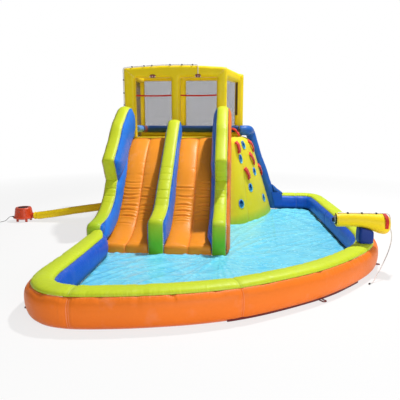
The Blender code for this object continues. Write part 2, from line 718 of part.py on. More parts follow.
def upright_post(name, low_x, high_x, low_y, high_y, bottom, top):
    """Inflated post of the cage."""
    piece = place(name, box_mesh(name, (low_x, low_y, bottom), (high_x, high_y, top)), "yellow")
    return round_edges(piece, CAGE_EDGE_RADIUS)


def cage_posts():
    """Three front posts that stand on the deck."""
    right = TOWER_LEFT_X + LEFT_POST_WIDTH
    spans = {
        "front_left_post": (TOWER_LEFT_X, right),
        "front_centre_post": (-CENTRE_POST_WIDTH / 2, CENTRE_POST_WIDTH / 2),
        "front_right_post": (TOWER_FRONT_RIGHT_X - RIGHT_POST_WIDTH, TOWER_FRONT_RIGHT_X),
    }
    top = BEAM_UNDERSIDE - SEAT_GAP
    for name, (low_x, high_x) in spans.items():
        upright_post(name, low_x, high_x, POST_FRONT_Y, POST_BACK_Y, DECK_SEAT, top)


def cage_beams():
    """Arched front beam, and the beams that join it to the back frame."""
    steps = 10
    low_x, high_x = TOWER_LEFT_X, TOWER_FRONT_RIGHT_X
    arch = [(low_x, BEAM_UNDERSIDE), (high_x, BEAM_UNDERSIDE)]
    for k in range(steps + 1):
        share = k / steps
        rise = FRONT_BEAM_ARCH * math.sin(math.pi * share)
        arch.append((high_x + (low_x - high_x) * share, CAGE_HEIGHT + rise))
    rings = [[(x, y, z) for x, z in arch] for y in (POST_FRONT_Y, POST_BACK_Y)]
    round_edges(loft("front_beam", rings, "yellow"), CAGE_EDGE_RADIUS)
    start, end = POST_BACK_Y + SEAT_GAP, BACK_FRAME_Y - SEAT_GAP
    width, left = RIGHT_POST_WIDTH, TOWER_LEFT_X + RIGHT_POST_WIDTH
    ends = {"left_beam": (left, left), "right_beam": (tower_side_x(start), tower_side_x(end))}
    for name, (near, far) in ends.items():
        plan = [(near - width, start), (near, start), (far, end), (far - width, end)]
        rings = [[(x, y, z) for x, y in plan] for z in (BEAM_UNDERSIDE, CAGE_HEIGHT)]
        round_edges(loft(name, rings, "yellow"), CAGE_EDGE_RADIUS)


def cut_corner_pane(low_x, low_z, high_x, high_z, cut):
    """Outline of a pane whose corners are cut off to clear a rounded frame."""
    return [
        (low_x + cut, low_z), (high_x - cut, low_z), (high_x, low_z + cut), (high_x, high_z - cut),
        (high_x - cut, high_z), (low_x + cut, high_z), (low_x, high_z - cut), (low_x, low_z + cut),
    ]


def back_windows():
    """The two window openings of the back frame: low X, high X, for each."""
    half = BACK_CENTRE_POST_WIDTH / 2
    return (
        (TOWER_LEFT_X + BACK_POST_WIDTH, -half), (half, TOWER_BACK_RIGHT_X - BACK_POST_WIDTH),
    )


def back_frame():
    """Back of the cage: one inflated frame with two windows and their nets."""
    outline = [
        (TOWER_LEFT_X, DECK_SEAT), (TOWER_BACK_RIGHT_X, DECK_SEAT), (TOWER_BACK_RIGHT_X, CAGE_HEIGHT),
        (TOWER_LEFT_X, CAGE_HEIGHT),
    ]
    low, high = DECK_SEAT + BACK_RAIL_HEIGHT, CAGE_HEIGHT - BACK_BEAM_HEIGHT
    holes = [[(a, low), (a, high), (b, high), (b, low)] for a, b in back_windows()]
    middle = BACK_FRAME_Y + POST_DEPTH / 2
    frame = flat_piece("back_frame", [outline] + holes, POST_DEPTH, (0, middle, 0), FRONT_VIEW, "yellow")
    round_edges(frame, CAGE_EDGE_RADIUS)
    gap = SEAT_GAP
    for side, (a, b) in zip(("left", "right"), back_windows()):
        pane = cut_corner_pane(a + gap, low + gap, b - gap, high - gap, CAGE_EDGE_RADIUS)
        flat_piece(f"back_net_{side}", [pane], NET_THICKNESS, (0, middle, 0), FRONT_VIEW, "net", 0.8)


def left_net():
    """Net that closes the left side of the cage."""
    start, end = POST_BACK_Y + SEAT_GAP, BACK_FRAME_Y - SEAT_GAP
    low, high = DECK_SEAT, BEAM_UNDERSIDE - SEAT_GAP
    pane = [(start, low), (end, low), (end, high), (start, high)]
    middle = TOWER_LEFT_X + LEFT_POST_WIDTH / 2
    flat_piece("left_net", [pane], NET_THICKNESS, (middle, 0, 0), SIDE_VIEW, "net", 0.8)


def grab_straps():
    """Red straps across the two slide openings."""
    spans = {
        "left": (TOWER_LEFT_X + LEFT_POST_WIDTH, -CENTRE_POST_WIDTH / 2),
        "right": (CENTRE_POST_WIDTH / 2, TOWER_FRONT_RIGHT_X - RIGHT_POST_WIDTH),
    }
    steps = 6
    y = (POST_FRONT_Y + POST_BACK_Y) / 2
    for side, (a, b) in spans.items():
        low, high = a + SEAT_GAP, b - SEAT_GAP
        line = []
        for k in range(steps + 1):
            share = k / steps
            sag = STRAP_SAG * math.sin(math.pi * share)
            line.append((low + (high - low) * share, STRAP_HEIGHT - sag))
        outline = line + [(x, z + STRAP_WIDTH) for x, z in reversed(line)]
        name = f"grab_strap_{side}"
        flat_piece(name, [outline], STRAP_THICKNESS, (0, y, 0), FRONT_VIEW, "red", 0.8)


def guard_tube():
    """Blue tube on the deck side of the left net and the back frame."""
    radius = GUARD_TUBE_RADIUS
    left = TOWER_LEFT_X + LEFT_POST_WIDTH / 2 + NET_THICKNESS / 2 + radius + SEAT_GAP
    back = BACK_FRAME_Y - radius - SEAT_GAP
    bend = GUARD_CORNER_RADIUS
    line = [(left, POST_BACK_Y + SEAT_GAP, GUARD_TUBE_HEIGHT)]
    steps = 5
    for k in range(steps + 1):
        angle = math.pi / 2 * k / steps
        corner = (left + bend - bend * math.cos(angle), back - bend + bend * math.sin(angle))
        line.append((*corner, GUARD_TUBE_HEIGHT))
    line.append((TOWER_BACK_RIGHT_X - BACK_POST_WIDTH / 2, back, GUARD_TUBE_HEIGHT))
    tube("guard_tube", line, radius, "blue", 4)


# Climbing wall


def climb_line(level, bulge):
    """Plan line of the climbing face at a share of the height, front to back."""
    foot = (CLIMB_FOOT_FRONT_Y, CLIMB_FOOT_REACH, CLIMB_FOOT_SHARES)
    top = (CLIMB_TOP_FRONT_Y, CLIMB_TOP_REACH, CLIMB_TOP_SHARES)
    lines = []
    for front_y, reach, shares in (foot, top):
        depth = CLIMB_BACK_Y - front_y
        spots = [Vector((CLIMB_LEFT_X + reach * a, front_y + depth * b)) for a, b in shares]
        fine = smooth(spots, CLIMB_FACE_STEPS)
        stride = (len(fine) - 1) // CLIMB_FACE_STEPS
        lines.append(fine[::stride])
    line = [a.lerp(b, level) for a, b in zip(*lines)]
    sides = side_directions(line)
    for k, side in enumerate(sides):
        share = k / CLIMB_FACE_STEPS * CLIMB_TUBES % 1
        line[k] = line[k] + side * bulge * math.sqrt(max(0.0, math.sin(math.pi * share)))
    return [tuple(point) for point in line]


def climb_bulge(level):
    """How far the face's air tubes stand out at a share of the height."""
    return CLIMB_FOOT_BULGE + (CLIMB_BULGE - CLIMB_FOOT_BULGE) * math.sin(math.pi * min(1, level))


def climb_top_inset(along, level):
    """How far the face draws back near its top, to round it, at a share along the face."""
    start = 1 - CLIMB_TOP_ROUND / PLATFORM_HEIGHT
    if level <= start:
        return 0.0
    share = min(1, (level - start) / (1 - start))
    return CLIMB_TOP_ROUND * (1 - math.sqrt(max(0.0, 1 - share * share))) * min(1, along * 2.5)


def climb_levels():
    """Heights of the climbing wall's rings, as shares, closer together near the rounded top."""
    start = 1 - CLIMB_TOP_ROUND / PLATFORM_HEIGHT
    rise = [start * k / CLIMB_LEVELS for k in range(CLIMB_LEVELS + 1)]
    return rise + [start + (1 - start) * share for share in (0.45, 0.8, 1.0)]


def tower_side_x(y):
    """X of the tower's slanted right side."""
    lean = (TOWER_BACK_RIGHT_X - TOWER_FRONT_RIGHT_X) / TOWER_DEPTH
    return TOWER_FRONT_RIGHT_X + lean * (y - TOWER_FRONT_Y)


def climb_face(level):
    """Points of the climbing face at a share of the height, front to back."""
    face = []
    for k, (x, y) in enumerate(climb_line(level, climb_bulge(level))):
        inset = climb_top_inset(k / CLIMB_FACE_STEPS, level)
        face.append((max(CLIMB_LEFT_X, x - inset), min(y, CLIMB_BACK_Y), level * PLATFORM_HEIGHT))
    return face


def climb_wall():
    """Leaning wall with foot holes, from the slide's right wall to the back of the tower."""
    back = [(tower_side_x(y) + 2 * SEAT_GAP, y) for y in (CLIMB_BACK_Y, TOWER_FRONT_Y)]
    back[1] = (max(CLIMB_LEFT_X, back[1][0]), TOWER_FRONT_Y)
    rings = []
    for level in climb_levels():
        rings.append(climb_face(level) + [(x, y, level * PLATFORM_HEIGHT) for x, y in back])
    wall = loft("climb_wall", rings, "yellow")
    for number, share in enumerate(HOLE_SHARES, 1):
        spot, out = face_spot(*share)
        tool = cylinder_mesh(f"hole_tool_{number}", HOLE_RADIUS, 2 * HOLE_DEPTH, HOLE_SIDES, spot, out)
        boolean(wall, cutter(f"hole_tool_{number}", tool), "DIFFERENCE")


def face_point(along, level):
    """Point of the faceted climbing face at a share along it and a share of its height."""
    levels = climb_levels()
    row = max(j for j in range(len(levels) - 1) if levels[j] <= level)
    i = min(int(along * CLIMB_FACE_STEPS), CLIMB_FACE_STEPS - 1)
    pair = []
    for at in levels[row:row + 2]:
        face = climb_face(at)
        pair.append(Vector(face[i]).lerp(Vector(face[i + 1]), along * CLIMB_FACE_STEPS - i))
    return pair[0].lerp(pair[1], (level - levels[row]) / (levels[row + 1] - levels[row]))


def face_spot(along, level):
    """Point of the climbing face, and the direction straight out of it."""
    step = FACE_PROBE_SHARE
    spot = face_point(along, level)
    across = face_point(along + step, level) - face_point(along - step, level)
    up = face_point(along, level + step) - face_point(along, level - step)
    return spot, across.cross(up).normalized()


def stand_off(surface, point, distance):
    """Moves a point straight off a surface until it is so far from it."""
    near = surface.find_nearest(point)[0]
    return near + (point - near).normalized() * distance


def climb_grips():
    """Red hand holds on the climbing face, each a bowed bar."""
    mesh = bpy.data.objects["climb_wall"].data
    faces = [tuple(face.vertices) for face in mesh.polygons]
    wall = BVHTree.FromPolygons([vertex.co for vertex in mesh.vertices], faces)
    span = GRIP_LENGTH / PLATFORM_HEIGHT
    for number, ((along, level), clearance) in enumerate(zip(GRIP_SHARES, GRIP_CLEARANCES), 1):
        line = []
        for k, bow in enumerate(GRIP_BOW_SHARES):
            share = k / (len(GRIP_BOW_SHARES) - 1) - 0.5
            spot, out = face_spot(along - GRIP_LEAN_SHARE * share, level + span * share)
            rise = GRIP_RADIUS + clearance + GRIP_RISE * bow
            line.append(stand_off(wall, spot + out * rise, rise))
        tube(f"climb_grip_{number}", line, GRIP_RADIUS, "red", 3)


def climb_rail():
    """Blue tube that guards the far side of the climbing wall, down to the pool's back wall."""
    start_x = TOWER_BACK_RIGHT_X - BACK_POST_WIDTH / 2 + SEAT_GAP
    start = Vector((start_x, BACK_FRAME_Y - RAIL_RADIUS - SEAT_GAP))
    reach = Vector((POOL_RAIL_X - RAIL_RADIUS - SEAT_GAP, RAIL_Y)) - start
    height = GUARD_TUBE_HEIGHT + GUARD_TUBE_RADIUS - RAIL_RADIUS
    points = []
    for out, back, rise in RAIL_SHARES:
        points.append((start[0] + reach[0] * out, start[1] + reach[1] * back, height * rise))
    line = [points[0]] + smooth(points[1:-1], 2) + [points[-1]]
    tube("climb_rail", line, RAIL_RADIUS, "blue", 4)


def top_handle():
    """Red handle from the guard tube down to the top of the climbing wall."""
    tube("top_handle", TOP_HANDLE_ROUTE, HANDLE_RADIUS, "red", 2)


# Water


def beam_top(x):
    """Height of the front beam's arched top."""
    share = (TOWER_FRONT_RIGHT_X - x) / (TOWER_FRONT_RIGHT_X - TOWER_LEFT_X)
    return CAGE_HEIGHT + FRONT_BEAM_ARCH * math.sin(math.pi * share)


def sprayers():
    """Two small sprayers on the face of the front beam."""
    for side, x in (("left", -SPRAYER_OFFSET), ("right", SPRAYER_OFFSET)):
        y = POST_FRONT_Y - SEAT_GAP - SPRAYER_LENGTH / 2
        name = f"sprayer_{side}"
        centre = (x, y, BEAM_UNDERSIDE + SPRAYER_RADIUS)
        mesh = cylinder_mesh(name, SPRAYER_RADIUS, SPRAYER_LENGTH, 12, centre, (0, 1, 0))
        round_edges(place(name, mesh, "sprayer"), SPRAYER_RADIUS * 0.3, 1)


def water_hose():
    """Thin hose that feeds the sprayers and is clipped along its whole way."""
    lift, edge, x = HOSE_RADIUS + 2 * SEAT_GAP, CAGE_EDGE_RADIUS, SPRAYER_OFFSET
    face, top = POST_FRONT_Y - lift, POST_FRONT_Y + edge
    turn = edge * (1 - math.sqrt(0.5)) - lift
    line = [(x, face, BEAM_UNDERSIDE + 2 * SPRAYER_RADIUS + SEAT_GAP)]
    line.append((x, face, beam_top(x) - edge))
    line.append((x - turn, POST_FRONT_Y + turn, beam_top(x) - turn))
    steps = 9
    start, end = x - edge, TOWER_LEFT_X + edge
    for k in range(steps + 1):
        at = start + (end - start) * k / steps
        line.append((at, top, beam_top(at) + lift))
    line.append((TOWER_LEFT_X + turn, top, CAGE_HEIGHT - turn))
    line.append((TOWER_LEFT_X - lift, top, CAGE_HEIGHT - edge))
    tube("water_hose", smooth(line + list(WATER_HOSE_ROUTE), 2), HOSE_RADIUS, "hose", 2)


def barrel_radius(share):
    """Radius of the cannon's barrel at a share of its length."""
    for (a, low), (b, high) in zip(BARREL_SHARES, BARREL_SHARES[1:]):
        if a <= share <= b:
            step = low + (high - low) * (share - a) / (b - a)
            return BARREL_RADIUS + (BARREL_BACK_RADIUS - BARREL_RADIUS) * step
    return BARREL_RADIUS


def barrel_top():
    """Height of the barrel's straight top line."""
    back_share = (BARREL_FRONT + CANNON_POST_WIDTH / 2) / (BARREL_FRONT + BARREL_BACK)
    return CANNON_BASE + CANNON_POST_HEIGHT + SEAT_GAP + 2 * barrel_radius(back_share)


def cannon_post():
    """Square post on the pool wall, whose top follows the barrel over it."""
    half = CANNON_POST_WIDTH / 2
    length = BARREL_FRONT + BARREL_BACK
    front, back = (BARREL_FRONT - half) / length, (BARREL_FRONT + half) / length
    rings = []
    for share in [front] + [share for share, _ in BARREL_SHARES if front < share < back] + [back]:
        top = barrel_top() - 2 * barrel_radius(share) - SEAT_GAP
        corners = ((-half, CANNON_BASE), (half, CANNON_BASE), (half, top), (-half, top))
        x = CANNON_X - BARREL_FRONT + share * length
        rings.append([(x, CANNON_Y + across, height) for across, height in corners])
    round_edges(loft("cannon_post", rings, "blue"), CANNON_POST_RADIUS)


def cannon_barrel():
    """Barrel with a straight top, a waist under it and a fuller back."""
    top, length = barrel_top(), BARREL_FRONT + BARREL_BACK
    rings = []
    for share, _ in BARREL_SHARES:
        radius, x = barrel_radius(share), CANNON_X - BARREL_FRONT + share * length
        middle = top - (radius if share < BARREL_FLUSH_SHARE else BARREL_BACK_RADIUS)
        rings.append(x_ring(x, CANNON_Y, middle, radius, BARREL_SIDES))
    loft("cannon_barrel", rings, "yellow")


def cannon_nozzle():
    """Disc and spout at the mouth of the barrel."""
    x = CANNON_X - BARREL_FRONT - SEAT_GAP
    middle = barrel_top() - barrel_radius(0)
    disc, tip = NOZZLE_RADIUS, NOZZLE_TIP_RADIUS
    rings = []
    for share, radius in ((0.0, disc), (0.35, disc), (0.45, tip), (1.0, tip * 0.8)):
        rings.append(x_ring(x - share * NOZZLE_LENGTH, CANNON_Y, middle, radius, BARREL_SIDES))
    loft("cannon_nozzle", rings, "black")


def cannon_grip():
    """Red grip strap on the pool side of the barrel's back."""
    share = CANNON_GRIP_SHARE
    radius = barrel_radius(share)
    x = CANNON_X - BARREL_FRONT + share * (BARREL_FRONT + BARREL_BACK)
    reach = radius + CANNON_GRIP_RADIUS + BARREL_CLEARANCE
    middle = barrel_top() - radius
    line = []
    steps = 10
    for k in range(steps + 1):
        angle = math.radians(100 + 90 * k / steps)
        line.append((x, CANNON_Y + reach * math.cos(angle), middle + reach * math.sin(angle)))
    tube("cannon_grip", line, CANNON_GRIP_RADIUS, "red", 2)


def feed_end():
    """Lower end of the hose on the barrel, behind the middle of its back."""
    x = CANNON_X + BARREL_BACK + HOSE_STANDOFF
    return Vector((x, CANNON_Y, barrel_top() - BARREL_BACK_RADIUS))


def feed_hose():
    """Hose clipped along the top of the barrel, from the nozzle to the back."""
    lift = FEED_HOSE_RADIUS + BARREL_CLEARANCE
    length = BARREL_FRONT + BARREL_BACK
    front, top, end = CANNON_X - BARREL_FRONT, barrel_top(), feed_end()
    line = [(front + share * length, CANNON_Y, top + lift) for share in FEED_RUN_SHARES]
    last, drop = line[-1], line[-1][2] - end[2]
    for out, rise in FEED_BEND_SHARES:
        line.append((last[0] + (end[0] - last[0]) * out, CANNON_Y, end[2] + drop * rise))
    upright = end + Vector((0, 0, 2 * FEED_HOSE_RADIUS))
    tube("feed_hose", smooth(line + [upright], 2) + [end], FEED_HOSE_RADIUS, "hose", 2)


def cannon_hose():
    """Hose that hangs from the barrel to the ground at the foot of the pool."""
    start = feed_end() - Vector((0, 0, SEAT_GAP))
    lead = start - Vector((0, 0, 2 * FEED_HOSE_RADIUS))
    line = [start] + even_line([lead, *CANNON_HOSE_ROUTE], 5 * FEED_HOSE_RADIUS)
    tube("cannon_hose", line, FEED_HOSE_RADIUS, "hose", 2)


# Air


def blower_point(radius, height, angle):
    """Point about the blower's upright axis."""
    return (BLOWER_X + radius * math.cos(angle), BLOWER_Y + radius * math.sin(angle), height)


def turned(name, profile, steps, colour, roughness=0.4, metallic=0.0):
    """Turns a profile of radius and height about the blower's axis."""
    mesh = bpy.data.meshes.new(name)
    points = [(radius, 0, height) for radius, height in profile]
    mesh.from_pydata(points, [(i, i + 1) for i in range(len(points) - 1)], [])
    obj = place(name, mesh, colour, roughness, metallic)
    obj.location = (BLOWER_X, BLOWER_Y, 0)
    screw = obj.modifiers.new("Turn", "SCREW")
    screw.steps = screw.render_steps = steps
    screw.use_merge_vertices = True
    screw.merge_threshold = WELD_DISTANCE
    screw.use_smooth_shade = True
    return obj


def blower_housing():
    """Open-topped housing with an outlet, four feet and a switch box."""
    radius, height, wall, low = BLOWER_RADIUS, BLOWER_HEIGHT, BLOWER_WALL, BLOWER_FLOOR
    rim = radius + BLOWER_RIM
    shoulder = radius * 0.86
    profile = [
        (INTAKE_RADIUS, height - wall), (INTAKE_RADIUS, height), (shoulder * 0.92, height),
        (shoulder, height - 2.5 * wall), (radius, low + 6.5 * wall), (rim, low + 5 * wall),
        (rim, low + 3 * wall), (radius, low + 2 * wall), (radius * 0.9, low), (0, low),
    ]
    inside = [
        (0, low + wall), (radius * 0.88, low + wall), (radius - 2 * wall, low + 3.5 * wall),
        (radius - 2 * wall, low + 6 * wall), (shoulder - 1.5 * wall, height - 3 * wall),
        (shoulder * 0.88, height - wall), (INTAKE_RADIUS, height - wall),
    ]
    housing = turned("blower_housing", profile + inside, 28, "housing")
    reach = OUTLET_REACH - radius * 0.8
    centre = (BLOWER_X + radius * 0.8 + reach / 2, BLOWER_Y, OUTLET_HEIGHT)
    outlet = cylinder_mesh("outlet_tool", OUTLET_RADIUS, reach, 16, centre, (1, 0, 0))
    boolean(housing, cutter("outlet_tool", outlet), "UNION")
    for k in range(FOOT_COUNT):
        angle = 2 * math.pi * (k + 0.5) / FOOT_COUNT
        top = low + wall / 2
        x, y, _ = blower_point(radius * 0.72, 0, angle)
        foot = cylinder_mesh(f"foot_tool_{k}", FOOT_RADIUS, top, 10, (x, y, top / 2), (0, 0, 1))
        boolean(housing, cutter(f"foot_tool_{k}", foot), "UNION")
    box = box_mesh("switch_box_tool", *switch_box())
    boolean(housing, cutter("switch_box_tool", box), "UNION")
    bore = cylinder_mesh(
        "outlet_bore_tool", OUTLET_RADIUS - wall, reach + 2 * CUT_OVERRUN + 2 * wall, 16,
        (centre[0] - wall, BLOWER_Y, OUTLET_HEIGHT), (1, 0, 0),
    )
    boolean(housing, cutter("outlet_bore_tool", bore), "DIFFERENCE")
    slot = cylinder_mesh(
        "switch_slot_tool", SWITCH_RADIUS + 2 * SEAT_GAP, SWITCH_WIDTH + 2 * SEAT_GAP, 16,
        switch_axis(), (1, 0, 0),
    )
    boolean(housing, cutter("switch_slot_tool", slot), "DIFFERENCE")


def switch_box():
    """Corners of the box on the front of the housing that holds the switch."""
    half = SWITCH_BOX / 2
    y = BLOWER_Y - BLOWER_RADIUS * 0.86
    height = BLOWER_HEIGHT - 6 * BLOWER_WALL
    low = (BLOWER_X - half, y - half, height - SWITCH_BOX)
    return low, (BLOWER_X + half, y + half * 0.4, height)


def switch_axis():
    """Middle of the rocker switch, on its joint's axis: in the box's front face."""
    low, high = switch_box()
    return ((low[0] + high[0]) / 2, low[1], (low[2] + high[2]) / 2)


def blower_switch():
    """Rocker switch: a round back in the box and a shallow wedge outside it."""
    steps = 10
    radius = SWITCH_RADIUS
    outline = [ring_point(radius, math.pi * (k / steps - 0.5)) for k in range(steps + 1)]
    outline += [(-radius * 0.45, radius), (-radius * 0.28, 0), (-radius * 0.12, -radius)]
    flat_piece("blower_switch", [outline], SWITCH_WIDTH, switch_axis(), SIDE_VIEW, "black")


def intake_grille():
    """Slotted disc in the intake."""
    disc = [ring_point(INTAKE_RADIUS - SEAT_GAP, 2 * math.pi * k / 28) for k in range(28)]
    holes = []
    for k in range(GRILLE_SLOTS):
        start = 2 * math.pi * (k + 0.18) / GRILLE_SLOTS
        end = 2 * math.pi * (k + 0.82) / GRILLE_SLOTS
        middle, inset = (start + end) / 2, (end - start) / 4
        hole = [ring_point(GRILLE_HUB_RADIUS, angle) for angle in (end - inset, start + inset)]
        holes.append(hole + [ring_point(INTAKE_RADIUS * 0.9, angle) for angle in (start, middle, end)])
    height = BLOWER_HEIGHT - GRILLE_THICKNESS / 2
    centre = (BLOWER_X, BLOWER_Y, height)
    flat_piece("intake_grille", [disc] + holes, GRILLE_THICKNESS, centre, PLAN, "black")


def ring_point(radius, angle):
    """Point on a circle about the middle of a flat outline."""
    return (radius * math.cos(angle), radius * math.sin(angle))


def impeller():
    """Paddle wheel on the motor's shaft: a hub with swept blades."""
    hub = MOTOR_RADIUS * BLADE_HUB_SHARE
    middle, tip = hub * BLADE_MIDDLE_SHARE, IMPELLER_RADIUS
    sweep, width = BLADE_SWEEP, BLADE_WIDTH
    blade = (
        (hub, -2.2 * width), (hub, -width), (middle, 0.45 * sweep), (tip, sweep),
        (tip, sweep + 0.6 * width), (middle, 0.45 * sweep + 0.9 * width), (hub, width),
    )
    outline = []
    for k in range(IMPELLER_BLADES):
        base = 2 * math.pi * k / IMPELLER_BLADES
        outline += [ring_point(radius, base + angle) for radius, angle in blade]
    bore = SHAFT_RADIUS + SHAFT_CLEARANCE
    hole = [ring_point(bore, 2 * math.pi * k / 10) for k in range(10)]
    height = BLOWER_FLOOR + BLOWER_WALL + MOTOR_HEIGHT + IMPELLER_HEIGHT / 2 + 4 * SEAT_GAP
    centre = (BLOWER_X, BLOWER_Y, height)
    flat_piece("blower_impeller", [outline, hole], IMPELLER_HEIGHT, centre, PLAN, "black")


def blower_motor():
    """Motor on the housing's floor, with its shaft up through the impeller."""
    low = BLOWER_FLOOR + BLOWER_WALL + SEAT_GAP
    top = low + MOTOR_HEIGHT
    profile = [
        (0, top + IMPELLER_HEIGHT), (SHAFT_RADIUS, top + IMPELLER_HEIGHT), (SHAFT_RADIUS, top),
        (MOTOR_RADIUS * 0.8, top), (MOTOR_RADIUS, top - MOTOR_RADIUS * 0.2), (MOTOR_RADIUS, low), (0, low),
    ]
    turned("blower_motor", profile, 16, "motor", 0.4, 0.8)


def air_tube():
    """Sleeve that carries air from the blower to the slide."""
    start = (BLOWER_X + OUTLET_REACH + SEAT_GAP, OUTLET_HEIGHT)
    end = (-WALL_OUTER_X - SEAT_GAP, INLET_HEIGHT)
    points = [
        (start[0] + (end[0] - start[0]) * a, BLOWER_Y, start[1] + (end[1] - start[1]) * b)
        for a, b in AIR_TUBE_SHARES
    ]
    line = [points[0]] + smooth(points[1:-1], 3) + [points[-1]]
    line[1] = (line[1][0], line[1][1], points[0][2])
    line[-2] = (line[-2][0], line[-2][1], points[-1][2])
    tube("air_tube", line, AIR_TUBE_RADIUS, "yellow", 4)


# Power cord


def gland_start():
    """X of the gland's wide end, on the housing's rim."""
    return BLOWER_X - BLOWER_RADIUS - BLOWER_RIM - SEAT_GAP


def gland():
    """Tapered strain relief where the cord leaves the housing."""
    start = gland_start()
    rings = []
    for share, radius in ((0.0, GLAND_RADIUS), (0.3, GLAND_RADIUS), (1.0, GLAND_TIP_RADIUS)):
        rings.append(x_ring(start - share * GLAND_LENGTH, BLOWER_Y, CORD_EXIT_HEIGHT, radius, 12))
    loft("cord_gland", rings, "black")


def coil_line():
    """Middle line of the coil: it spirals in on the ground, climbs one layer and spirals out again."""
    half = COIL_TURNS / 2
    outer = COIL_TURN_RADIUS + COIL_PITCH * half / 2
    line = []
    count = COIL_TURNS * COIL_POINTS
    for k in range(count + 1):
        turn = k / COIL_POINTS
        radius = outer - COIL_PITCH * min(turn, COIL_TURNS - turn)
        climb = min(1, max(0, (turn - half + 0.25) / 0.5))
        height = CORD_ROUTE[-1][2] + COIL_PITCH * climb
        angle = math.pi / 2 + 2 * math.pi * turn
        x, y = ring_point(radius, angle)
        line.append(Vector((COIL_CENTRE[0] + x, COIL_CENTRE[1] + y, height)))
    return line


def least_gap(line, diameter, apart):
    """Least gap between stretches of a tube that are so many points apart or more."""
    least = math.inf
    for i, one in enumerate(line):
        for two in line[i + apart:]:
            least = min(least, (one - two).length - diameter)
    return least


def cord_coil():
    """Unused length of the cord, wound in a neat coil, and its straight end into the plug."""
    line = coil_line()
    gap = least_gap(line, CORD_DIAMETER, COIL_POINTS // 2)
    wanted = f"wanted over {LEAST_COIL_GAP * 1000:.1f} mm"
    print(f"least gap between the coil's turns: {gap * 1000:.2f} mm, {wanted}")
    start, last = line[0] + Vector((CORD_DIAMETER, 0, 0)), line[-1]
    tail = []
    for out, rise in COIL_TAIL_SHARES:
        tail.append(last + Vector((-COIL_TAIL * out, 0, (PLUG_RADIUS - last[2]) * rise)))
    tube("cord_coil", [start] + line + tail, CORD_DIAMETER / 2, "cord", 1)
    return tail[-1]


def power_cord():
    """Cord from the gland down to the ground and along it to the coil."""
    lead = Vector((CORD_DIAMETER, 0, 0))
    start = Vector((gland_start() - GLAND_LENGTH - SEAT_GAP, BLOWER_Y, CORD_EXIT_HEIGHT))
    end = coil_line()[0] + lead + Vector((SEAT_GAP, 0, 0))
    line = even_line([start - lead, *CORD_ROUTE, end + lead], 2.5 * CORD_DIAMETER)
    tube("power_cord", [start] + line + [end], CORD_DIAMETER / 2, "cord", 2)


def power_plug(end):
    """Moulded plug that lies beside the coil."""
    x, y, z = end - Vector((SEAT_GAP, 0, 0))
    rings = []
    for share, scale in ((0.0, 0.45), (0.3, 0.6), (0.4, 1.0), (1.0, 1.0)):
        rings.append(x_ring(x - share * PLUG_LENGTH, y, z, PLUG_RADIUS * scale, 12))
    plug = loft("power_plug", rings, "black")
    pin_x = x - PLUG_LENGTH - PIN_LENGTH / 2 + SEAT_GAP
    for number, side in enumerate((-1, 1)):
        centre = (pin_x, y + side * PLUG_RADIUS * 0.5, z)
        pin = cylinder_mesh(f"pin_tool_{number}", PLUG_RADIUS * 0.15, PIN_LENGTH, 8, centre, (1, 0, 0))
        boolean(plug, cutter(f"pin_tool_{number}", pin), "UNION")


def build():
    """Makes every piece."""
    pool_wall()
    pool_floor()
    stake_loops()
    lane("lane_left", -LANE_OUTER_X, -LANE_INNER_X)
    lane("lane_right", LANE_INNER_X, LANE_OUTER_X)
    slide_walls()
    tower_base()
    cage_posts()
    cage_beams()
    back_frame()
    left_net()
    grab_straps()
    guard_tube()
    climb_wall()
    climb_grips()
    climb_rail()
    top_handle()
    sprayers()
    water_hose()
    cannon_post()
    cannon_barrel()
    cannon_nozzle()
    cannon_grip()
    feed_hose()
    cannon_hose()
    blower_housing()
    blower_switch()
    intake_grille()
    impeller()
    blower_motor()
    air_tube()
    gland()
    power_cord()
    power_plug(cord_coil())


clear_scene()
PARTS = new_collection("inflatable_water_slide")
CUTTERS = new_collection("cutters", hidden=True)
build()
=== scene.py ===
"""Looks of the inflatable water slide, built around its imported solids.

Metres, +Z up. +X is to the right of someone who faces the slide, and +Y leads away from them.
"""

import logging
import math
from dataclasses import dataclass
from enum import Enum
from typing import Any, Callable, Sequence

import bmesh
import bpy
import numpy as np
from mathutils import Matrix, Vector
from mathutils.geometry import delaunay_2d_cdt

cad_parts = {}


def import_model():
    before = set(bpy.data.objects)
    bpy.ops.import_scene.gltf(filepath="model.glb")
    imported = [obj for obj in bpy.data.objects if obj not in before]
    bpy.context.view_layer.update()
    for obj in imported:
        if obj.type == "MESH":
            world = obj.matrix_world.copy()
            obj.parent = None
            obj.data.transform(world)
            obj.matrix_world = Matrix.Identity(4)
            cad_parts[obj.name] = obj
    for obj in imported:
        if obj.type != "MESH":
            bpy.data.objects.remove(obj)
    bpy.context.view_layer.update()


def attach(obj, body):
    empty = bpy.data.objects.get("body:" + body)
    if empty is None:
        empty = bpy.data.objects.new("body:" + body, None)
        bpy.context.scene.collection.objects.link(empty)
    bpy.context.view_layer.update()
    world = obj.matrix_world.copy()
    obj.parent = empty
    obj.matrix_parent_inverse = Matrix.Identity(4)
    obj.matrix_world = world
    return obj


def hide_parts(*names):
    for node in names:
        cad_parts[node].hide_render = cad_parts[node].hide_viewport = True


logging.basicConfig(level=logging.INFO, format="%(name)s: %(message)s")
LOG = logging.getLogger("water_slide")

Array = np.ndarray
Point = Sequence[float]
Colour = tuple[float, float, float]
SHARP_ANGLE = math.radians(62)


class Body(str, Enum):
    """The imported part's bodies that dressed pieces ride on."""

    SLIDE = "slide"
    CANNON = "cannon"


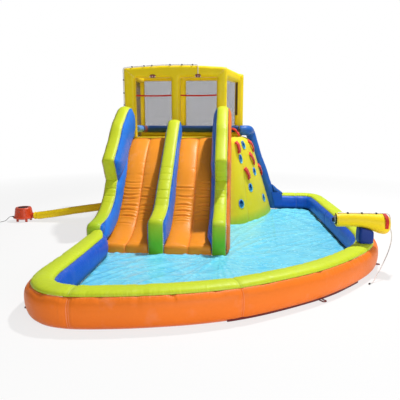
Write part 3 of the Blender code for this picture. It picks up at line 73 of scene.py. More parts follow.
class Slot(str, Enum):
    """The record's material slots."""

    ORANGE = "orange_cover"
    LANE = "lane_cover"
    LIME = "lime_cover"
    BLUE = "blue_cover"
    YELLOW = "yellow_cover"
    CYAN = "cyan_liner"
    NET = "grey_net"
    RED = "red_webbing"
    DARK = "dark_webbing"
    SPRAYER = "sprayer_plastic"
    HOSE = "hose_rubber"
    BLACK = "black_plastic"
    HOUSING = "red_housing"
    MOTOR = "motor_metal"
    CORD = "cord_rubber"


# Materials


def srgb(red: float, green: float, blue: float) -> Colour:
    """Turns a screen colour into a linear one.

    Args:
        red: from 0 to 255, as green and blue.
        green: the screen's green.
        blue: the screen's blue.

    Returns:
        The linear colour, from 0 to 1.
    """

    def linear(value: float) -> float:
        share = value / 255
        return share / 12.92 if share <= 0.04045 else ((share + 0.055) / 1.055) ** 2.4

    return (linear(red), linear(green), linear(blue))


def shaded(colour: Colour, share: float = 1.0) -> tuple[float, float, float, float]:
    """Scales a colour, and adds its alpha."""
    return (colour[0] * share, colour[1] * share, colour[2] * share, 1.0)


class NodeBoard:
    """A material's nodes, with short ways to add and join them."""

    def __init__(self, name: str) -> None:
        """Makes a material with a plain shader."""
        self.material = bpy.data.materials.new(name)
        self.material.use_nodes = True
        self.tree = self.material.node_tree
        self.shader = self.tree.nodes["Principled BSDF"]

    def add(self, kind: str, sockets: dict[Any, Any] | None = None, **settings: Any) -> bpy.types.Node:
        """Adds a node.

        Args:
            kind: Blender's name of the node's type, without its ShaderNode start.
            sockets: values or other nodes' outputs for its inputs, by name or number.
            settings: the node's own settings.

        Returns:
            The new node.
        """
        node = self.tree.nodes.new("ShaderNode" + kind)
        for key, value in settings.items():
            setattr(node, key, value)
        for key, value in (sockets or {}).items():
            if isinstance(value, bpy.types.NodeSocket):
                self.tree.links.new(value, node.inputs[key])
            else:
                node.inputs[key].default_value = value
        return node

    def math(self, operation: str, *values: Any) -> bpy.types.NodeSocket:
        """Adds a calculation, and returns its result."""
        return self.add("Math", dict(enumerate(values)), operation=operation).outputs[0]

    def blend(self, share: Any, one: Any, two: Any, mode: str = "MIX") -> bpy.types.NodeSocket:
        """Mixes two colours, and returns the result."""
        node = self.add("Mix", {0: share, 6: one, 7: two}, data_type="RGBA", blend_type=mode)
        return node.outputs[2]

    def noise(self, scale: float, detail: float = 2.0, where: Any = None) -> bpy.types.NodeSocket:
        """Adds a noise of that scale over the object or over a place, and returns its value."""
        sockets: dict[Any, Any] = {"Scale": scale, "Detail": detail, "Roughness": 0.55}
        sockets["Vector"] = self.place() if where is None else where
        return self.add("TexNoise", sockets).outputs["Fac"]

    def place(self) -> bpy.types.NodeSocket:
        """Returns the place on the object."""
        return self.add("TexCoord").outputs["Object"]

    def lay(self) -> tuple[bpy.types.NodeSocket, bpy.types.NodeSocket, bpy.types.NodeSocket]:
        """Returns the cloth's own measures: along its run, across it, and from the nearest seam."""
        node = self.add("Attribute", attribute_name="lay")
        split = self.add("SeparateXYZ", {0: node.outputs["Vector"]})
        return split.outputs[0], split.outputs[1], split.outputs[2]

    def spread(
        self, value: Any, low: float, high: float, to_low: float, to_high: float,
    ) -> bpy.types.NodeSocket:
        """Maps a range of a value to another one, and returns the result."""
        sockets = {"Value": value, "From Min": low, "From Max": high, "To Min": to_low, "To Max": to_high}
        return self.add("MapRange", sockets).outputs[0]

    def bump(self, height: Any, distance: float, strength: float, under: Any = None) -> bpy.types.NodeSocket:
        """Adds relief over what is under it, and returns the normal."""
        sockets: dict[Any, Any] = {"Height": height, "Distance": distance, "Strength": strength}
        if under is not None:
            sockets["Normal"] = under
        return self.add("Bump", sockets).outputs[0]

    def set(self, **values: Any) -> None:
        """Sets or joins the shader's inputs, named with underscores for spaces."""
        for key, value in values.items():
            socket = self.shader.inputs[key.replace("_", " ")]
            if isinstance(value, bpy.types.NodeSocket):
                self.tree.links.new(value, socket)
            else:
                socket.default_value = value


@dataclass(frozen=True)
class CoatedCloth:
    """Woven cloth with a smooth coating, sewn into air chambers."""

    name: str
    slot: Slot
    colour: Colour
    deep: Colour
    roughness: float = 0.42
    coat: float = 0.05
    weave: float = 0.0024
    stitched: bool = True
    welt: float = 0.0
    # foot and its span give a painted tint towards the ground: painted reflected light on the lime and yellow
    # cloths, painted shadow on the pool's blue.
    foot: Colour | None = None
    painted_bounce_and_shade_span: tuple[float, float] = (0.0, 1.0)

    def make(self) -> bpy.types.Material:
        """Builds the material: weave, stitches beside seams, puckers, soft mottling, wear, painted shade
        along seams and a painted tint at the foot.
        """
        board = NodeBoard(self.name)
        along, across, seam = board.lay()
        turn = 2 * math.pi / self.weave
        threads = board.math(
            "MULTIPLY", board.math("SINE", board.math("MULTIPLY", along, turn)),
            board.math("SINE", board.math("MULTIPLY", across, turn)),
        )
        broad = board.noise(1.7, 3.0)
        fine = board.noise(38.0, 3.0)
        faded = board.noise(6.0, 5.0)
        colour = board.blend(
            board.spread(broad, 0.3, 0.7, 0.0, 1.0), shaded(self.colour, 0.93), shaded(self.colour),
        )
        # Painted light: the foot colour tints the cloth towards the ground, a painted reflection of the
        # liner's cyan on lime and yellow cloth, and a painted shadow on the pool's blue.
        if self.foot:
            height = board.add("SeparateXYZ", {0: board.place()}).outputs[2]
            low = board.math("SMOOTH_MIN", board.spread(height, *self.painted_bounce_and_shade_span, 1.0, 0.0), 1.0, 0.2)
            colour = board.blend(low, colour, shaded(self.foot))
        # Painted shade: darker near each seam, where the cloth creases in.
        depth = board.spread(seam, 0.0, 0.02, 1.0, 0.0)
        colour = board.blend(board.math("MULTIPLY", depth, 0.3), colour, shaded(self.deep))
        colour = board.blend(board.spread(fine, 0.35, 0.7, 0.0, 0.07), colour, shaded(self.deep))
        pale = tuple(0.75 * value + 0.25 * max(self.colour) for value in self.colour)
        colour = board.blend(board.spread(faded, 0.58, 0.8, 0.0, 0.22), colour, shaded(pale, 1.05))
        if self.stitched:
            row = board.math("LESS_THAN", board.math("ABSOLUTE", board.math("SUBTRACT", seam, 0.009)), 0.0014)
            dash = board.math("LESS_THAN", board.math("FRACT", board.math("DIVIDE", along, 0.009)), 0.62)
            stitch = board.math("MULTIPLY", row, dash)
            colour = board.blend(board.math("MULTIPLY", stitch, 0.55), colour, shaded(pale, 1.15))
        if self.welt:
            edge = board.spread(seam, 0.003, 0.005, self.welt, 0.0)
            piping = tuple(0.35 * value + 0.6 for value in self.colour)
            colour = board.blend(edge, colour, shaded(piping))
        where = board.add(
            "CombineXYZ", {0: board.math("MULTIPLY", along, 46.0), 1: board.math("MULTIPLY", seam, 9.0)},
        )
        pucker = board.noise(1.0, 2.0, where.outputs[0])
        near = board.spread(seam, 0.0, 0.11, 1.0, 0.0)
        relief = board.bump(board.math("MULTIPLY", pucker, near), 0.012, 0.55)
        relief = board.bump(board.noise(7.5, 4.0), 0.006, 0.35, relief)
        relief = board.bump(threads, 0.0004, 0.25, relief)
        rough = board.math("ADD", board.spread(fine, 0.3, 0.7, -0.05, 0.06), self.roughness)
        board.set(
            Base_Color=colour, Roughness=rough, Normal=relief, Coat_Weight=self.coat, Coat_Roughness=0.3,
        )
        board.set(Specular_IOR_Level=0.2, Sheen_Weight=0.0)
        return board.material


@dataclass(frozen=True)
class WetLiner:
    """Glossy liner film on the ground, wet and wrinkled."""

    name: str
    slot: Slot
    colour: Colour
    deep: Colour

    def make(self) -> bpy.types.Material:
        """Builds the material: fine wrinkles, painted shade in the folds, painted highlights on the ridges
        and a wet gloss.
        """
        board = NodeBoard(self.name)
        place = board.place()
        warp = board.add("Mapping", {"Vector": place, "Rotation": (0, 0, 0.7), "Scale": (1.0, 3.2, 1.0)})
        fold = board.add(
            "TexNoise", {"Vector": warp.outputs[0], "Scale": 5.5, "Detail": 6.0, "Distortion": 1.6},
        )
        crinkle = board.add("TexNoise", {"Vector": place, "Scale": 30.0, "Detail": 4.0, "Distortion": 0.6})
        # Painted shade: the fold valleys take the darker colour.
        colour = board.blend(
            board.spread(fold.outputs["Fac"], 0.38, 0.62, 0.0, 1.0), shaded(self.deep), shaded(self.colour)
        )
        # Painted highlight: the crinkles' ridges are painted paler.
        pale = tuple(0.55 * value + 0.45 for value in self.colour)
        colour = board.blend(
            board.spread(crinkle.outputs["Fac"], 0.62, 0.78, 0.0, 0.35), colour, shaded(pale),
        )
        relief = board.bump(fold.outputs["Fac"], 0.02, 0.45)
        relief = board.bump(crinkle.outputs["Fac"], 0.003, 0.25, relief)
        rough = board.spread(crinkle.outputs["Fac"], 0.3, 0.7, 0.1, 0.3)
        board.set(Base_Color=colour, Roughness=rough, Normal=relief, Coat_Weight=0.3, Coat_Roughness=0.12)
        return board.material


@dataclass(frozen=True)
class Webbing:
    """Flat woven band."""

    name: str
    slot: Slot
    colour: Colour
    rib: float = 0.0018

    def make(self) -> bpy.types.Material:
        """Builds the material: ribs across the band, painted shade between the ribs, and a matt, slightly
        uneven dye.
        """
        board = NodeBoard(self.name)
        along, across, _ = board.lay()
        ribs = board.math("SINE", board.math("MULTIPLY", along, 2 * math.pi / self.rib))
        cross = board.math("SINE", board.math("MULTIPLY", across, 2 * math.pi / (2 * self.rib)))
        woven = board.math("MULTIPLY", ribs, cross)
        dye = board.noise(25.0, 4.0)
        colour = board.blend(dye, shaded(self.colour, 0.72), shaded(self.colour, 1.08))
        # Painted shade: darker in the hollows of the weave.
        colour = board.blend(board.spread(woven, -1.0, 1.0, 0.25, 0.0), colour, shaded(self.colour, 0.4))
        relief = board.bump(woven, 0.0006, 0.6)
        board.set(Base_Color=colour, Roughness=0.8, Normal=relief, Sheen_Weight=0.25, Sheen_Roughness=0.5)
        return board.material


@dataclass(frozen=True)
class NetYarn:
    """Fine coated yarn of the cage's nets."""

    name: str
    slot: Slot
    colour: Colour

    def make(self) -> bpy.types.Material:
        """Builds the material: pale yarn that darkens in patches."""
        board = NodeBoard(self.name)
        patch = board.noise(9.0, 3.0)
        twist = board.noise(400.0, 1.0)
        colour = board.blend(
            board.spread(patch, 0.35, 0.7, 0.0, 1.0), shaded(self.colour, 0.7), shaded(self.colour, 1.05),
        )
        board.set(Base_Color=colour, Roughness=0.6, Normal=board.bump(twist, 0.0003, 0.5))
        return board.material


@dataclass(frozen=True)
class Moulding:
    """Moulded plastic or rubber."""

    name: str
    slot: Slot
    colour: Colour
    roughness: float = 0.4
    grain: float = 420.0
    grain_depth: float = 0.0003
    metallic: float = 0.0

    def make(self) -> bpy.types.Material:
        """Builds the material: fine moulded grain, faint streaks and edge wear."""
        board = NodeBoard(self.name)
        grain = board.noise(self.grain, 2.0)
        cloud = board.noise(9.0, 4.0)
        wear = board.spread(board.add("NewGeometry").outputs["Pointiness"], 0.53, 0.62, 0.0, 0.35)
        colour = board.blend(
            board.spread(cloud, 0.3, 0.7, 0.0, 1.0), shaded(self.colour, 0.84), shaded(self.colour, 1.05),
        )
        pale = tuple(0.7 * value + 0.3 * max(max(self.colour), 0.12) for value in self.colour)
        colour = board.blend(wear, colour, shaded(pale, 1.2))
        rough = board.math("ADD", board.spread(cloud, 0.3, 0.7, -0.06, 0.08), self.roughness)
        board.set(Base_Color=colour, Roughness=rough, Normal=board.bump(grain, self.grain_depth, 0.5))
        board.set(Metallic=self.metallic)
        return board.material


Finish = CoatedCloth | WetLiner | Webbing | NetYarn | Moulding

ORANGE = CoatedCloth("orange coated cloth", Slot.ORANGE, srgb(255, 130, 36), srgb(218, 86, 18))
LANE = CoatedCloth("lane coated cloth", Slot.LANE, srgb(254, 156, 42), srgb(236, 126, 30), 0.38, 0.06)
LIME = CoatedCloth("lime coated cloth", Slot.LIME, srgb(210, 228, 48), srgb(150, 172, 20))
# Painted reflection: greener towards the ground, for the liner's cyan light on the lime.
BAND = CoatedCloth(
    "lime band cloth", Slot.LIME, srgb(206, 219, 44), srgb(150, 172, 20), welt=0.5,
    foot=srgb(104, 198, 44), painted_bounce_and_shade_span=(0.14, 0.46),
)
BLUE = CoatedCloth("blue coated cloth", Slot.BLUE, srgb(44, 126, 230), srgb(14, 60, 150))
# Painted shadow: dark teal at the foot of the inner panel, under the liner's raised edge.
POOL_BLUE = CoatedCloth(
    "pool blue cloth", Slot.BLUE, srgb(26, 94, 206), srgb(10, 48, 136), foot=srgb(8, 62, 104),
    painted_bounce_and_shade_span=(0.04, 0.095),
)
POST_BLUE = CoatedCloth("post blue cloth", Slot.BLUE, srgb(18, 54, 140), srgb(8, 30, 92))
NAVY = CoatedCloth("navy coated cloth", Slot.BLUE, srgb(26, 62, 118), srgb(10, 24, 60))
RAIL_BLUE = CoatedCloth("rail blue cloth", Slot.BLUE, srgb(40, 100, 186), srgb(14, 50, 120))
SKY = CoatedCloth("sky blue coated cloth", Slot.BLUE, srgb(96, 150, 226), srgb(40, 84, 170))
YELLOW = CoatedCloth("yellow coated cloth", Slot.YELLOW, srgb(255, 224, 26), srgb(230, 178, 10))
# Painted reflection: greener towards the ground, for the liner's cyan light on the yellow.
CLIMB = CoatedCloth(
    "climbing wall cloth", Slot.YELLOW, srgb(238, 220, 44), srgb(192, 178, 16), foot=srgb(132, 190, 54),
    painted_bounce_and_shade_span=(-0.02, 0.17),
)
HOLE_BLUE = CoatedCloth("foot hole cloth", Slot.BLUE, srgb(18, 92, 158), srgb(8, 44, 92))
# Painted light: the pale cyan of the foot holes' lower sides, where they face up to the light.
LIT_HOLE_CYAN = CoatedCloth(
    "cyan piping", Slot.CYAN, srgb(95, 200, 235), srgb(40, 140, 190), 0.4, 0.1, 0.002, False,
)
LINER = WetLiner("wet liner", Slot.CYAN, srgb(138, 233, 255), srgb(102, 215, 250))
NET = NetYarn("net yarn", Slot.NET, srgb(56, 60, 116))
RED_BAND = Webbing("red webbing", Slot.RED, srgb(226, 44, 24))
DARK_BAND = Webbing("dark red webbing", Slot.DARK, srgb(120, 28, 24))
# Painted shade: the dark strip on the inner edge of the back-right post.
POST_SHADE_STRIP = Webbing("dark net hem", Slot.DARK, srgb(92, 68, 34))
SPRAYER = Moulding("sprayer plastic", Slot.SPRAYER, srgb(140, 62, 36), 0.4)
HOSE = Moulding("hose rubber", Slot.HOSE, srgb(222, 218, 216), 0.35, 260.0)
BLACK = Moulding("black plastic", Slot.BLACK, srgb(30, 30, 32), 0.42)
WHITE = Moulding("white plastic", Slot.BLACK, srgb(232, 232, 228), 0.38)
HOUSING = Moulding("red housing plastic", Slot.HOUSING, srgb(214, 70, 26), 0.36)
METAL = Moulding("motor metal", Slot.MOTOR, srgb(150, 152, 158), 0.35, 300.0, 0.0002, 0.85)
CORD = Moulding("cord rubber", Slot.CORD, srgb(34, 34, 36), 0.5, 500.0)


class Wardrobe:
    """The finishes, each made once."""

    made: dict[str, bpy.types.Material] = {}

    @classmethod
    def get(cls, finish: Finish) -> bpy.types.Material:
        """Returns the material of a finish."""
        if finish.name not in cls.made:
            cls.made[finish.name] = finish.make()
        return cls.made[finish.name]


# Shapes


def hashed(column: Array, row: Array, seed: int) -> Array:
    """Returns a fixed scatter of numbers from -1 to 1 for whole-number places."""
    value = np.sin(column * 127.1 + row * 311.7 + seed * 74.7) * 43758.5453
    return 2 * (value - np.floor(value)) - 1


def swell(u: Array, v: Array | float = 0.0, seed: int = 0) -> Array:
    """Returns smooth noise over a plane, one unit to a wave.

    Args:
        u: place along.
        v: place across.
        seed: picks one pattern.

    Returns:
        Values from -1 to 1.
    """
    u, v = np.broadcast_arrays(np.asarray(u, float), np.asarray(v, float))
    low_u, low_v = np.floor(u), np.floor(v)
    part_u, part_v = u - low_u, v - low_v
    ease_u, ease_v = part_u**2 * (3 - 2 * part_u), part_v**2 * (3 - 2 * part_v)
    near = hashed(low_u, low_v, seed) * (1 - ease_u) + hashed(low_u + 1, low_v, seed) * ease_u
    far = hashed(low_u, low_v + 1, seed) * (1 - ease_u) + hashed(low_u + 1, low_v + 1, seed) * ease_u
    return near * (1 - ease_v) + far * ease_v


def gathers(
    along: Array, seam: Array, seed: int, depth: float = 0.005, reach: float = 0.07, pitch: float = 0.05,
) -> Array:
    """Measures how far cloth draws in where a seam gathers it.

    Args:
        along: place along the seam.
        seam: distance from the seam.
        seed: picks one pattern of creases.
        depth: depth of a crease at the seam.
        reach: how far a long crease runs from the seam.
        pitch: usual distance between creases.

    Returns:
        The inward distance at each point, at least zero.
    """
    crease = np.maximum(0.0, swell(along / pitch, 0.0, seed)) ** 1.5
    length = reach * (0.45 + 0.55 * np.abs(swell(along / pitch * 0.7, 3.3, seed + 5)))
    return depth * crease * bell(seam, length)


def curve_steps(points: Sequence[Point], steps: int) -> Array:
    """Reads a smooth curve through the given points, so many steps from each to the next.

    Args:
        points: the places that the curve passes, in two or three dimensions.
        steps: number of steps between one given point and the next.

    Returns:
        The points, one to a row.
    """
    spots = [np.array(point, float) for point in points]
    ends = [2 * spots[0] - spots[1], *spots, 2 * spots[-1] - spots[-2]]
    fine: list[Array] = []
    for rows in zip(ends, ends[1:], ends[2:], ends[3:]):
        knots = [0.0]
        for one, two in zip(rows, rows[1:]):
            knots.append(knots[-1] + max(float(np.linalg.norm(two - one)), 1e-6) ** 0.5)
        at = knots[1] + (knots[2] - knots[1]) * np.arange(steps)[:, None] / steps

        def between(one: Array, two: Array, low: int, high: int) -> Array:
            share = (at - knots[low]) / (knots[high] - knots[low])
            return one + (two - one) * share

        near = [between(rows[i], rows[i + 1], i, i + 1) for i in range(3)]
        mid = [between(near[i], near[i + 1], i, i + 2) for i in range(2)]
        fine.append(between(mid[0], mid[1], 1, 2))
    return np.vstack([*fine, spots[-1][None]])


def curve_through(points: Sequence[Point], spacing: float) -> Array:
    """Reads evenly spaced points on a smooth curve through the given points."""
    return evenly(curve_steps(points, 16), spacing)


def evenly(line: Array, spacing: float) -> Array:
    """Reads a line again at even distances."""
    lengths = run_length(line)
    count = max(2, round(lengths[-1] / spacing))
    wanted = np.linspace(0, lengths[-1], count + 1)
    return np.stack([np.interp(wanted, lengths, line[:, k]) for k in range(line.shape[1])], axis=1)


def run_length(line: Array) -> Array:
    """Measures the distance run at each point of a line."""
    steps = np.linalg.norm(np.diff(line, axis=0), axis=1)
    return np.concatenate([[0.0], np.cumsum(steps)])


def headings(line: Array) -> Array:
    """Measures the direction of travel at each point of a line."""
    ahead = np.gradient(line, axis=0)
    return ahead / np.maximum(np.linalg.norm(ahead, axis=1, keepdims=True), 1e-12)


def right_of(line: Array) -> Array:
    """Measures the direction to the right of travel at each point of a flat line."""
    ahead = headings(line)
    return np.stack([ahead[:, 1], -ahead[:, 0]], axis=1)


def closed_up(loop: Array) -> Array:
    """Repeats a closed line's first point at its end."""
    return np.vstack([loop, loop[:1]])


def bell(distance: Array, width: float) -> Array:
    """Returns a smooth share that is 1 at no distance and fades past a width."""
    return np.exp(-((distance / width) ** 2))


def grid_normals(grid: Array) -> Array:
    """Measures the unit direction straight out of each point of an open grid."""
    out = np.cross(np.gradient(grid, axis=0), np.gradient(grid, axis=1))
    return out / np.maximum(np.linalg.norm(out, axis=2, keepdims=True), 1e-12)


def drawn_in(grid: Array, drawn: Array) -> Array:
    """Moves a tube's points toward its middle line, by at most 0.6 of the way."""
    out = grid - grid.mean(axis=1, keepdims=True)
    size = np.maximum(np.linalg.norm(out, axis=2, keepdims=True), 1e-9)
    return grid - out / size * np.minimum(drawn[..., None], size * 0.6)


def sweep(path: Array, ring: Array, side: Array, up: Array) -> Array:
    """Carries a flat section along a path, its first measure along side and its second along up."""
    return path[:, None] + side[..., None, :] * ring[:, :1] + up[..., None, :] * ring[:, 1:]


class Skin:
    """One piece of the model, gathered from grids and flat fields of points."""

    def __init__(self, name: str) -> None:
        """Starts an empty piece."""
        self.name = name
        self.points: list[Array] = []
        self.lays: list[Array] = []
        self.faces: list[list[int]] = []
        self.finishes: list[int] = []

    def add(self, points: Array, lay: Array, faces: list[list[int]], finishes: Sequence[int] = ()) -> "Skin":
        """Adds points with their cloth measures, and faces with the numbers of their finishes.

        Args:
            points: the points.
            lay: their places along and across the cloth, and distances from the nearest seam.
            faces: lists of the points' numbers.
            finishes: one for each face, or none where all have the first.

        Returns:
            The piece itself.
        """
        start = sum(map(len, self.points))
        self.points.append(points.reshape(-1, 3))
        self.lays.append(lay.reshape(-1, 3))
        self.faces += [[i + start for i in face] for face in faces]
        self.finishes += finishes or [0] * len(faces)
        return self

    def grid(
        self, grid: Array, seam: Array | float = 0.01, closed: bool = True, caps: float | None = None,
        finish: Sequence[int] | None = None,
    ) -> "Skin":
        """Adds a grid.

        Args:
            grid: points by row and column.
            seam: distance of each point from the nearest seam.
            closed: whether the last column joins the first.
            caps: the cloth measure of flat faces over its first and last rows, or none to leave them open.
            finish: number of the finish for each row of faces.

        Returns:
            The piece itself.
        """
        rows, columns = grid.shape[:2]
        along, across = np.zeros((2, rows, columns))
        along[1:] = np.cumsum(np.linalg.norm(np.diff(grid, axis=0), axis=2), axis=0)
        across[:, 1:] = np.cumsum(np.linalg.norm(np.diff(grid, axis=1), axis=2), axis=1)
        lay = [along.mean(axis=1)[:, None] + 0 * along, across, np.broadcast_to(seam, along.shape)]
        sides = [(c, (c + 1) % columns) for c in range(columns if closed else columns - 1)]
        starts = range(0, (rows - 1) * columns, columns)
        faces = [[r + c, r + d, r + columns + d, r + columns + c] for r in starts for c, d in sides]
        numbers = np.repeat(np.zeros(rows - 1, int) if finish is None else finish, len(sides)).tolist()
        self.add(grid, np.stack(lay, axis=2), faces, numbers)
        for row in () if caps is None else (grid[0], grid[-1]):
            self.add(row, 0 * row + caps, [list(range(columns))])
        return self

    def make(
        self, finishes: Sequence[Finish], merge: float = 0.00002, solid: bool = True,
    ) -> bpy.types.Object:
        """Builds the piece.

        Args:
            finishes: the finishes that its faces name.
            merge: distance under which points become one.
            solid: whether it is a closed form, whose faces are all turned outward.

        Returns:
            The object, in the scene.
        """
        mesh = bpy.data.meshes.new(self.name)
        mesh.from_pydata(np.vstack(self.points).tolist(), [], self.faces)
        measure = mesh.attributes.new("lay", "FLOAT_VECTOR", "POINT")
        measure.data.foreach_set("vector", np.vstack(self.lays).astype(np.float32).ravel())
        mesh.polygons.foreach_set("material_index", np.array(self.finishes, dtype=np.int32))
        for finish in finishes:
            mesh.materials.append(Wardrobe.get(finish))
        shape = bmesh.new()
        shape.from_mesh(mesh)
        bmesh.ops.remove_doubles(shape, verts=shape.verts, dist=merge)
        bmesh.ops.dissolve_degenerate(shape, edges=shape.edges, dist=merge)
        if solid:
            bmesh.ops.recalc_face_normals(shape, faces=shape.faces)
        shape.to_mesh(mesh)
        shape.free()
        mesh.shade_smooth()
        mesh.set_sharp_from_angle(angle=SHARP_ANGLE)
        obj = bpy.data.objects.new(self.name, mesh)
        bpy.context.scene.collection.objects.link(obj)
        return obj

    def place(
        self, finish: Finish, *nodes: str, fill: float | None = None, body: Body = Body.SLIDE,
        merge: float = 0.00002, solid: bool = True, trim: Sequence[Finish] = (),
    ) -> bpy.types.Object:
        """Builds the piece and seats it.

        Args:
            finish: its main finish.
            nodes: the solids that it stands for.
            fill: how full it is, for an air chamber; not used.
            body: the body that it moves with.
            merge: distance under which points become one.
            solid: whether it is a closed form.
            trim: the finishes of its other faces.

        Returns:
            The object, in the scene.
        """
        return seat(self.make([finish, *trim], merge, solid), body, nodes)


@dataclass
class Field:
    """Evenly filled flat outline."""

    flat: Array
    faces: list[list[int]]
    edge: Array
    run: Array

    @classmethod
    def fill(cls, outlines: Sequence[Array], spacing: float, rims: Sequence[float] = ()) -> "Field":
        """Fills an outline, less the holes in it, with points an even distance apart.

        Args:
            outlines: the outer outline, then any holes.
            spacing: distance between the points.
            rims: distances from the outlines at which to add more rows of points.

        Returns:
            The field, with each point's distance from the outline and place along it.
        """
        loops = [densely(outline, spacing) for outline in outlines]
        low, high = loops[0].min(axis=0), loops[0].max(axis=0)
        rows = []
        for number, y in enumerate(np.arange(low[1] + spacing * 0.6, high[1], spacing * 0.87)):
            x = np.arange(low[0] + spacing * (0.5 if number % 2 else 1.0), high[0], spacing)
            rows.append(np.stack([x, np.full(len(x), y)], axis=1))
        inner = np.vstack(rows)
        edge, _ = nearest_edge(inner, loops)
        clear = max([spacing * 0.55, *rims]) + 0.3 * spacing * bool(rims)
        inner = inner[within(inner, loops) & (edge > clear)]
        rows = []
        for loop in loops:
            for rim in rims:
                row = inset(loop, rim)
                rows.append(row[within(row, loops) & (nearest_edge(row, loops)[0] > 0.97 * rim)])
        flat = np.vstack([*loops, *rows, inner])
        edges, start = [], 0
        for loop in loops:
            edges += [(start + i, start + (i + 1) % len(loop)) for i in range(len(loop))]
            start += len(loop)
        made = delaunay_2d_cdt([Vector(point) for point in flat], edges, [], 0, 1e-6, False)
        flat = np.array([tuple(point) for point in made[0]])
        faces = np.array([list(face) for face in made[2]])
        faces = faces[within(flat[faces].mean(axis=1), loops)]
        edge, run = nearest_edge(flat, loops)
        return cls(flat, faces.tolist(), edge, run)

    def lay(self) -> Array:
        """Returns the cloth measures of the field's points."""
        return np.stack([self.run, self.flat[:, 1], self.edge], axis=1)


def inset(loop: Array, distance: float) -> Array:
    """Moves a dense closed outline both ways by an even distance.

    Args:
        loop: the outline.
        distance: how far it moves.

    Returns:
        The points of both moved outlines.
    """
    ahead = np.roll(loop, -1, axis=0) - loop
    ahead /= np.maximum(np.linalg.norm(ahead, axis=1, keepdims=True), 1e-12)
    behind = np.roll(ahead, 1, axis=0)
    side = np.stack([-(ahead + behind)[:, 1], (ahead + behind)[:, 0]], axis=1)
    side /= np.maximum((side**2).sum(axis=1, keepdims=True) / 2, 0.5)
    return np.vstack([loop + side * distance, loop - side * distance])


def densely(outline: Array, spacing: float) -> Array:
    """Adds points along the sides of a closed outline, and keeps its corners.

    Args:
        outline: the corners.
        spacing: usual distance between the points.

    Returns:
        The denser outline.
    """
    line = []
    for one, two in zip(outline, np.roll(outline, -1, axis=0)):
        count = max(1, round(float(np.linalg.norm(two - one)) / spacing))
        line += [one + (two - one) * k / count for k in range(count)]
    return np.array(line)


def nearest_edge(points: Array, loops: Sequence[Array]) -> tuple[Array, Array]:
    """Measures the distance from points to the nearest of several closed outlines.

    Args:
        points: flat points.
        loops: the outlines' corners.

    Returns:
        The distances, and how far along its outline each nearest place is.
    """
    start = np.vstack(loops)
    step = np.vstack([np.roll(loop, -1, axis=0) for loop in loops]) - start
    span = np.maximum((step**2).sum(axis=1), 1e-12)
    run = np.concatenate([run_length(closed_up(loop))[:-1] for loop in loops])
    best, where = np.zeros((2, len(points)))
    for first in range(0, len(points), 2000):
        part = slice(first, first + 2000)
        block = points[part, None, :]
        share = np.clip(((block - start) * step).sum(axis=2) / span, 0, 1)
        gap = np.linalg.norm(block - (start + share[:, :, None] * step), axis=2)
        nearest = gap.argmin(axis=1)
        rows = np.arange(len(nearest))
        best[part] = gap[rows, nearest]
        where[part] = run[nearest] + share[rows, nearest] * np.sqrt(span[nearest])
    return best, where


def within(points: Array, loops: Sequence[Array]) -> Array:
    """Tells which points lie inside the first outline and outside the others.

    Args:
        points: flat points.
        loops: the outlines.

    Returns:
        True for each point that does.
    """
    inside = np.zeros(len(points), bool)
    for loop in loops:
        (x, y), (start, end) = points.T, (loop, np.roll(loop, -1, axis=0))
        for (x1, y1), (x2, y2) in zip(start, end):
            if y1 != y2:
                inside ^= ((y1 > y) != (y2 > y)) & (x < (x2 - x1) * (y - y1) / (y2 - y1) + x1)
    return inside


def softened(corners: Sequence[Point], radius: float) -> Array:
    """Rounds the corners of a closed flat outline.

    Args:
        corners: the outline.
        radius: distance from a corner at which its round starts.

    Returns:
        The rounded outline.
    """
    spots = [np.array(corner, float) for corner in corners]
    line = []
    for before, spot, after in zip(spots[-1:] + spots, spots, spots[1:] + spots[:1]):
        one, two = (spot + (side - spot) / np.linalg.norm(side - spot) * radius for side in (before, after))
        line += [one * (1 - t) ** 2 + spot * 2 * t * (1 - t) + two * t**2 for t in np.linspace(0, 1, 5)]
    return np.array(line)


def segment_distance(points: Array, segments: Sequence[tuple[Point, Point]]) -> Array:
    """Measures the distance from flat points to the nearest of several straight lines.

    Args:
        points: the points.
        segments: both ends of each line.

    Returns:
        The distances.
    """
    best = np.full(len(points), 9.0)
    for one, two in segments:
        start, step = np.array(one), np.array(two) - np.array(one)
        share = np.clip((points - start) @ step / (step @ step), 0, 1)
        best = np.minimum(best, np.linalg.norm(points - start - share[:, None] * step, axis=1))
    return best


def tube_frames(line: Array) -> tuple[Array, Array]:
    """Carries two directions square to a line along it, without twist.

    Args:
        line: the line's points.

    Returns:
        The sideways and the upward direction at each point.
    """
    ahead = headings(line)
    first = Vector((0, 0, 1)) if abs(ahead[0][2]) < 0.9 else Vector((1, 0, 0))
    side = Vector(ahead[0]).cross(first).normalized()
    sides, ups = [], []
    for direction in ahead:
        forward = Vector(direction)
        side = (side - forward * side.dot(forward)).normalized()
        sides.append(tuple(side))
        ups.append(tuple(forward.cross(side)))
    return np.array(sides), np.array(ups)


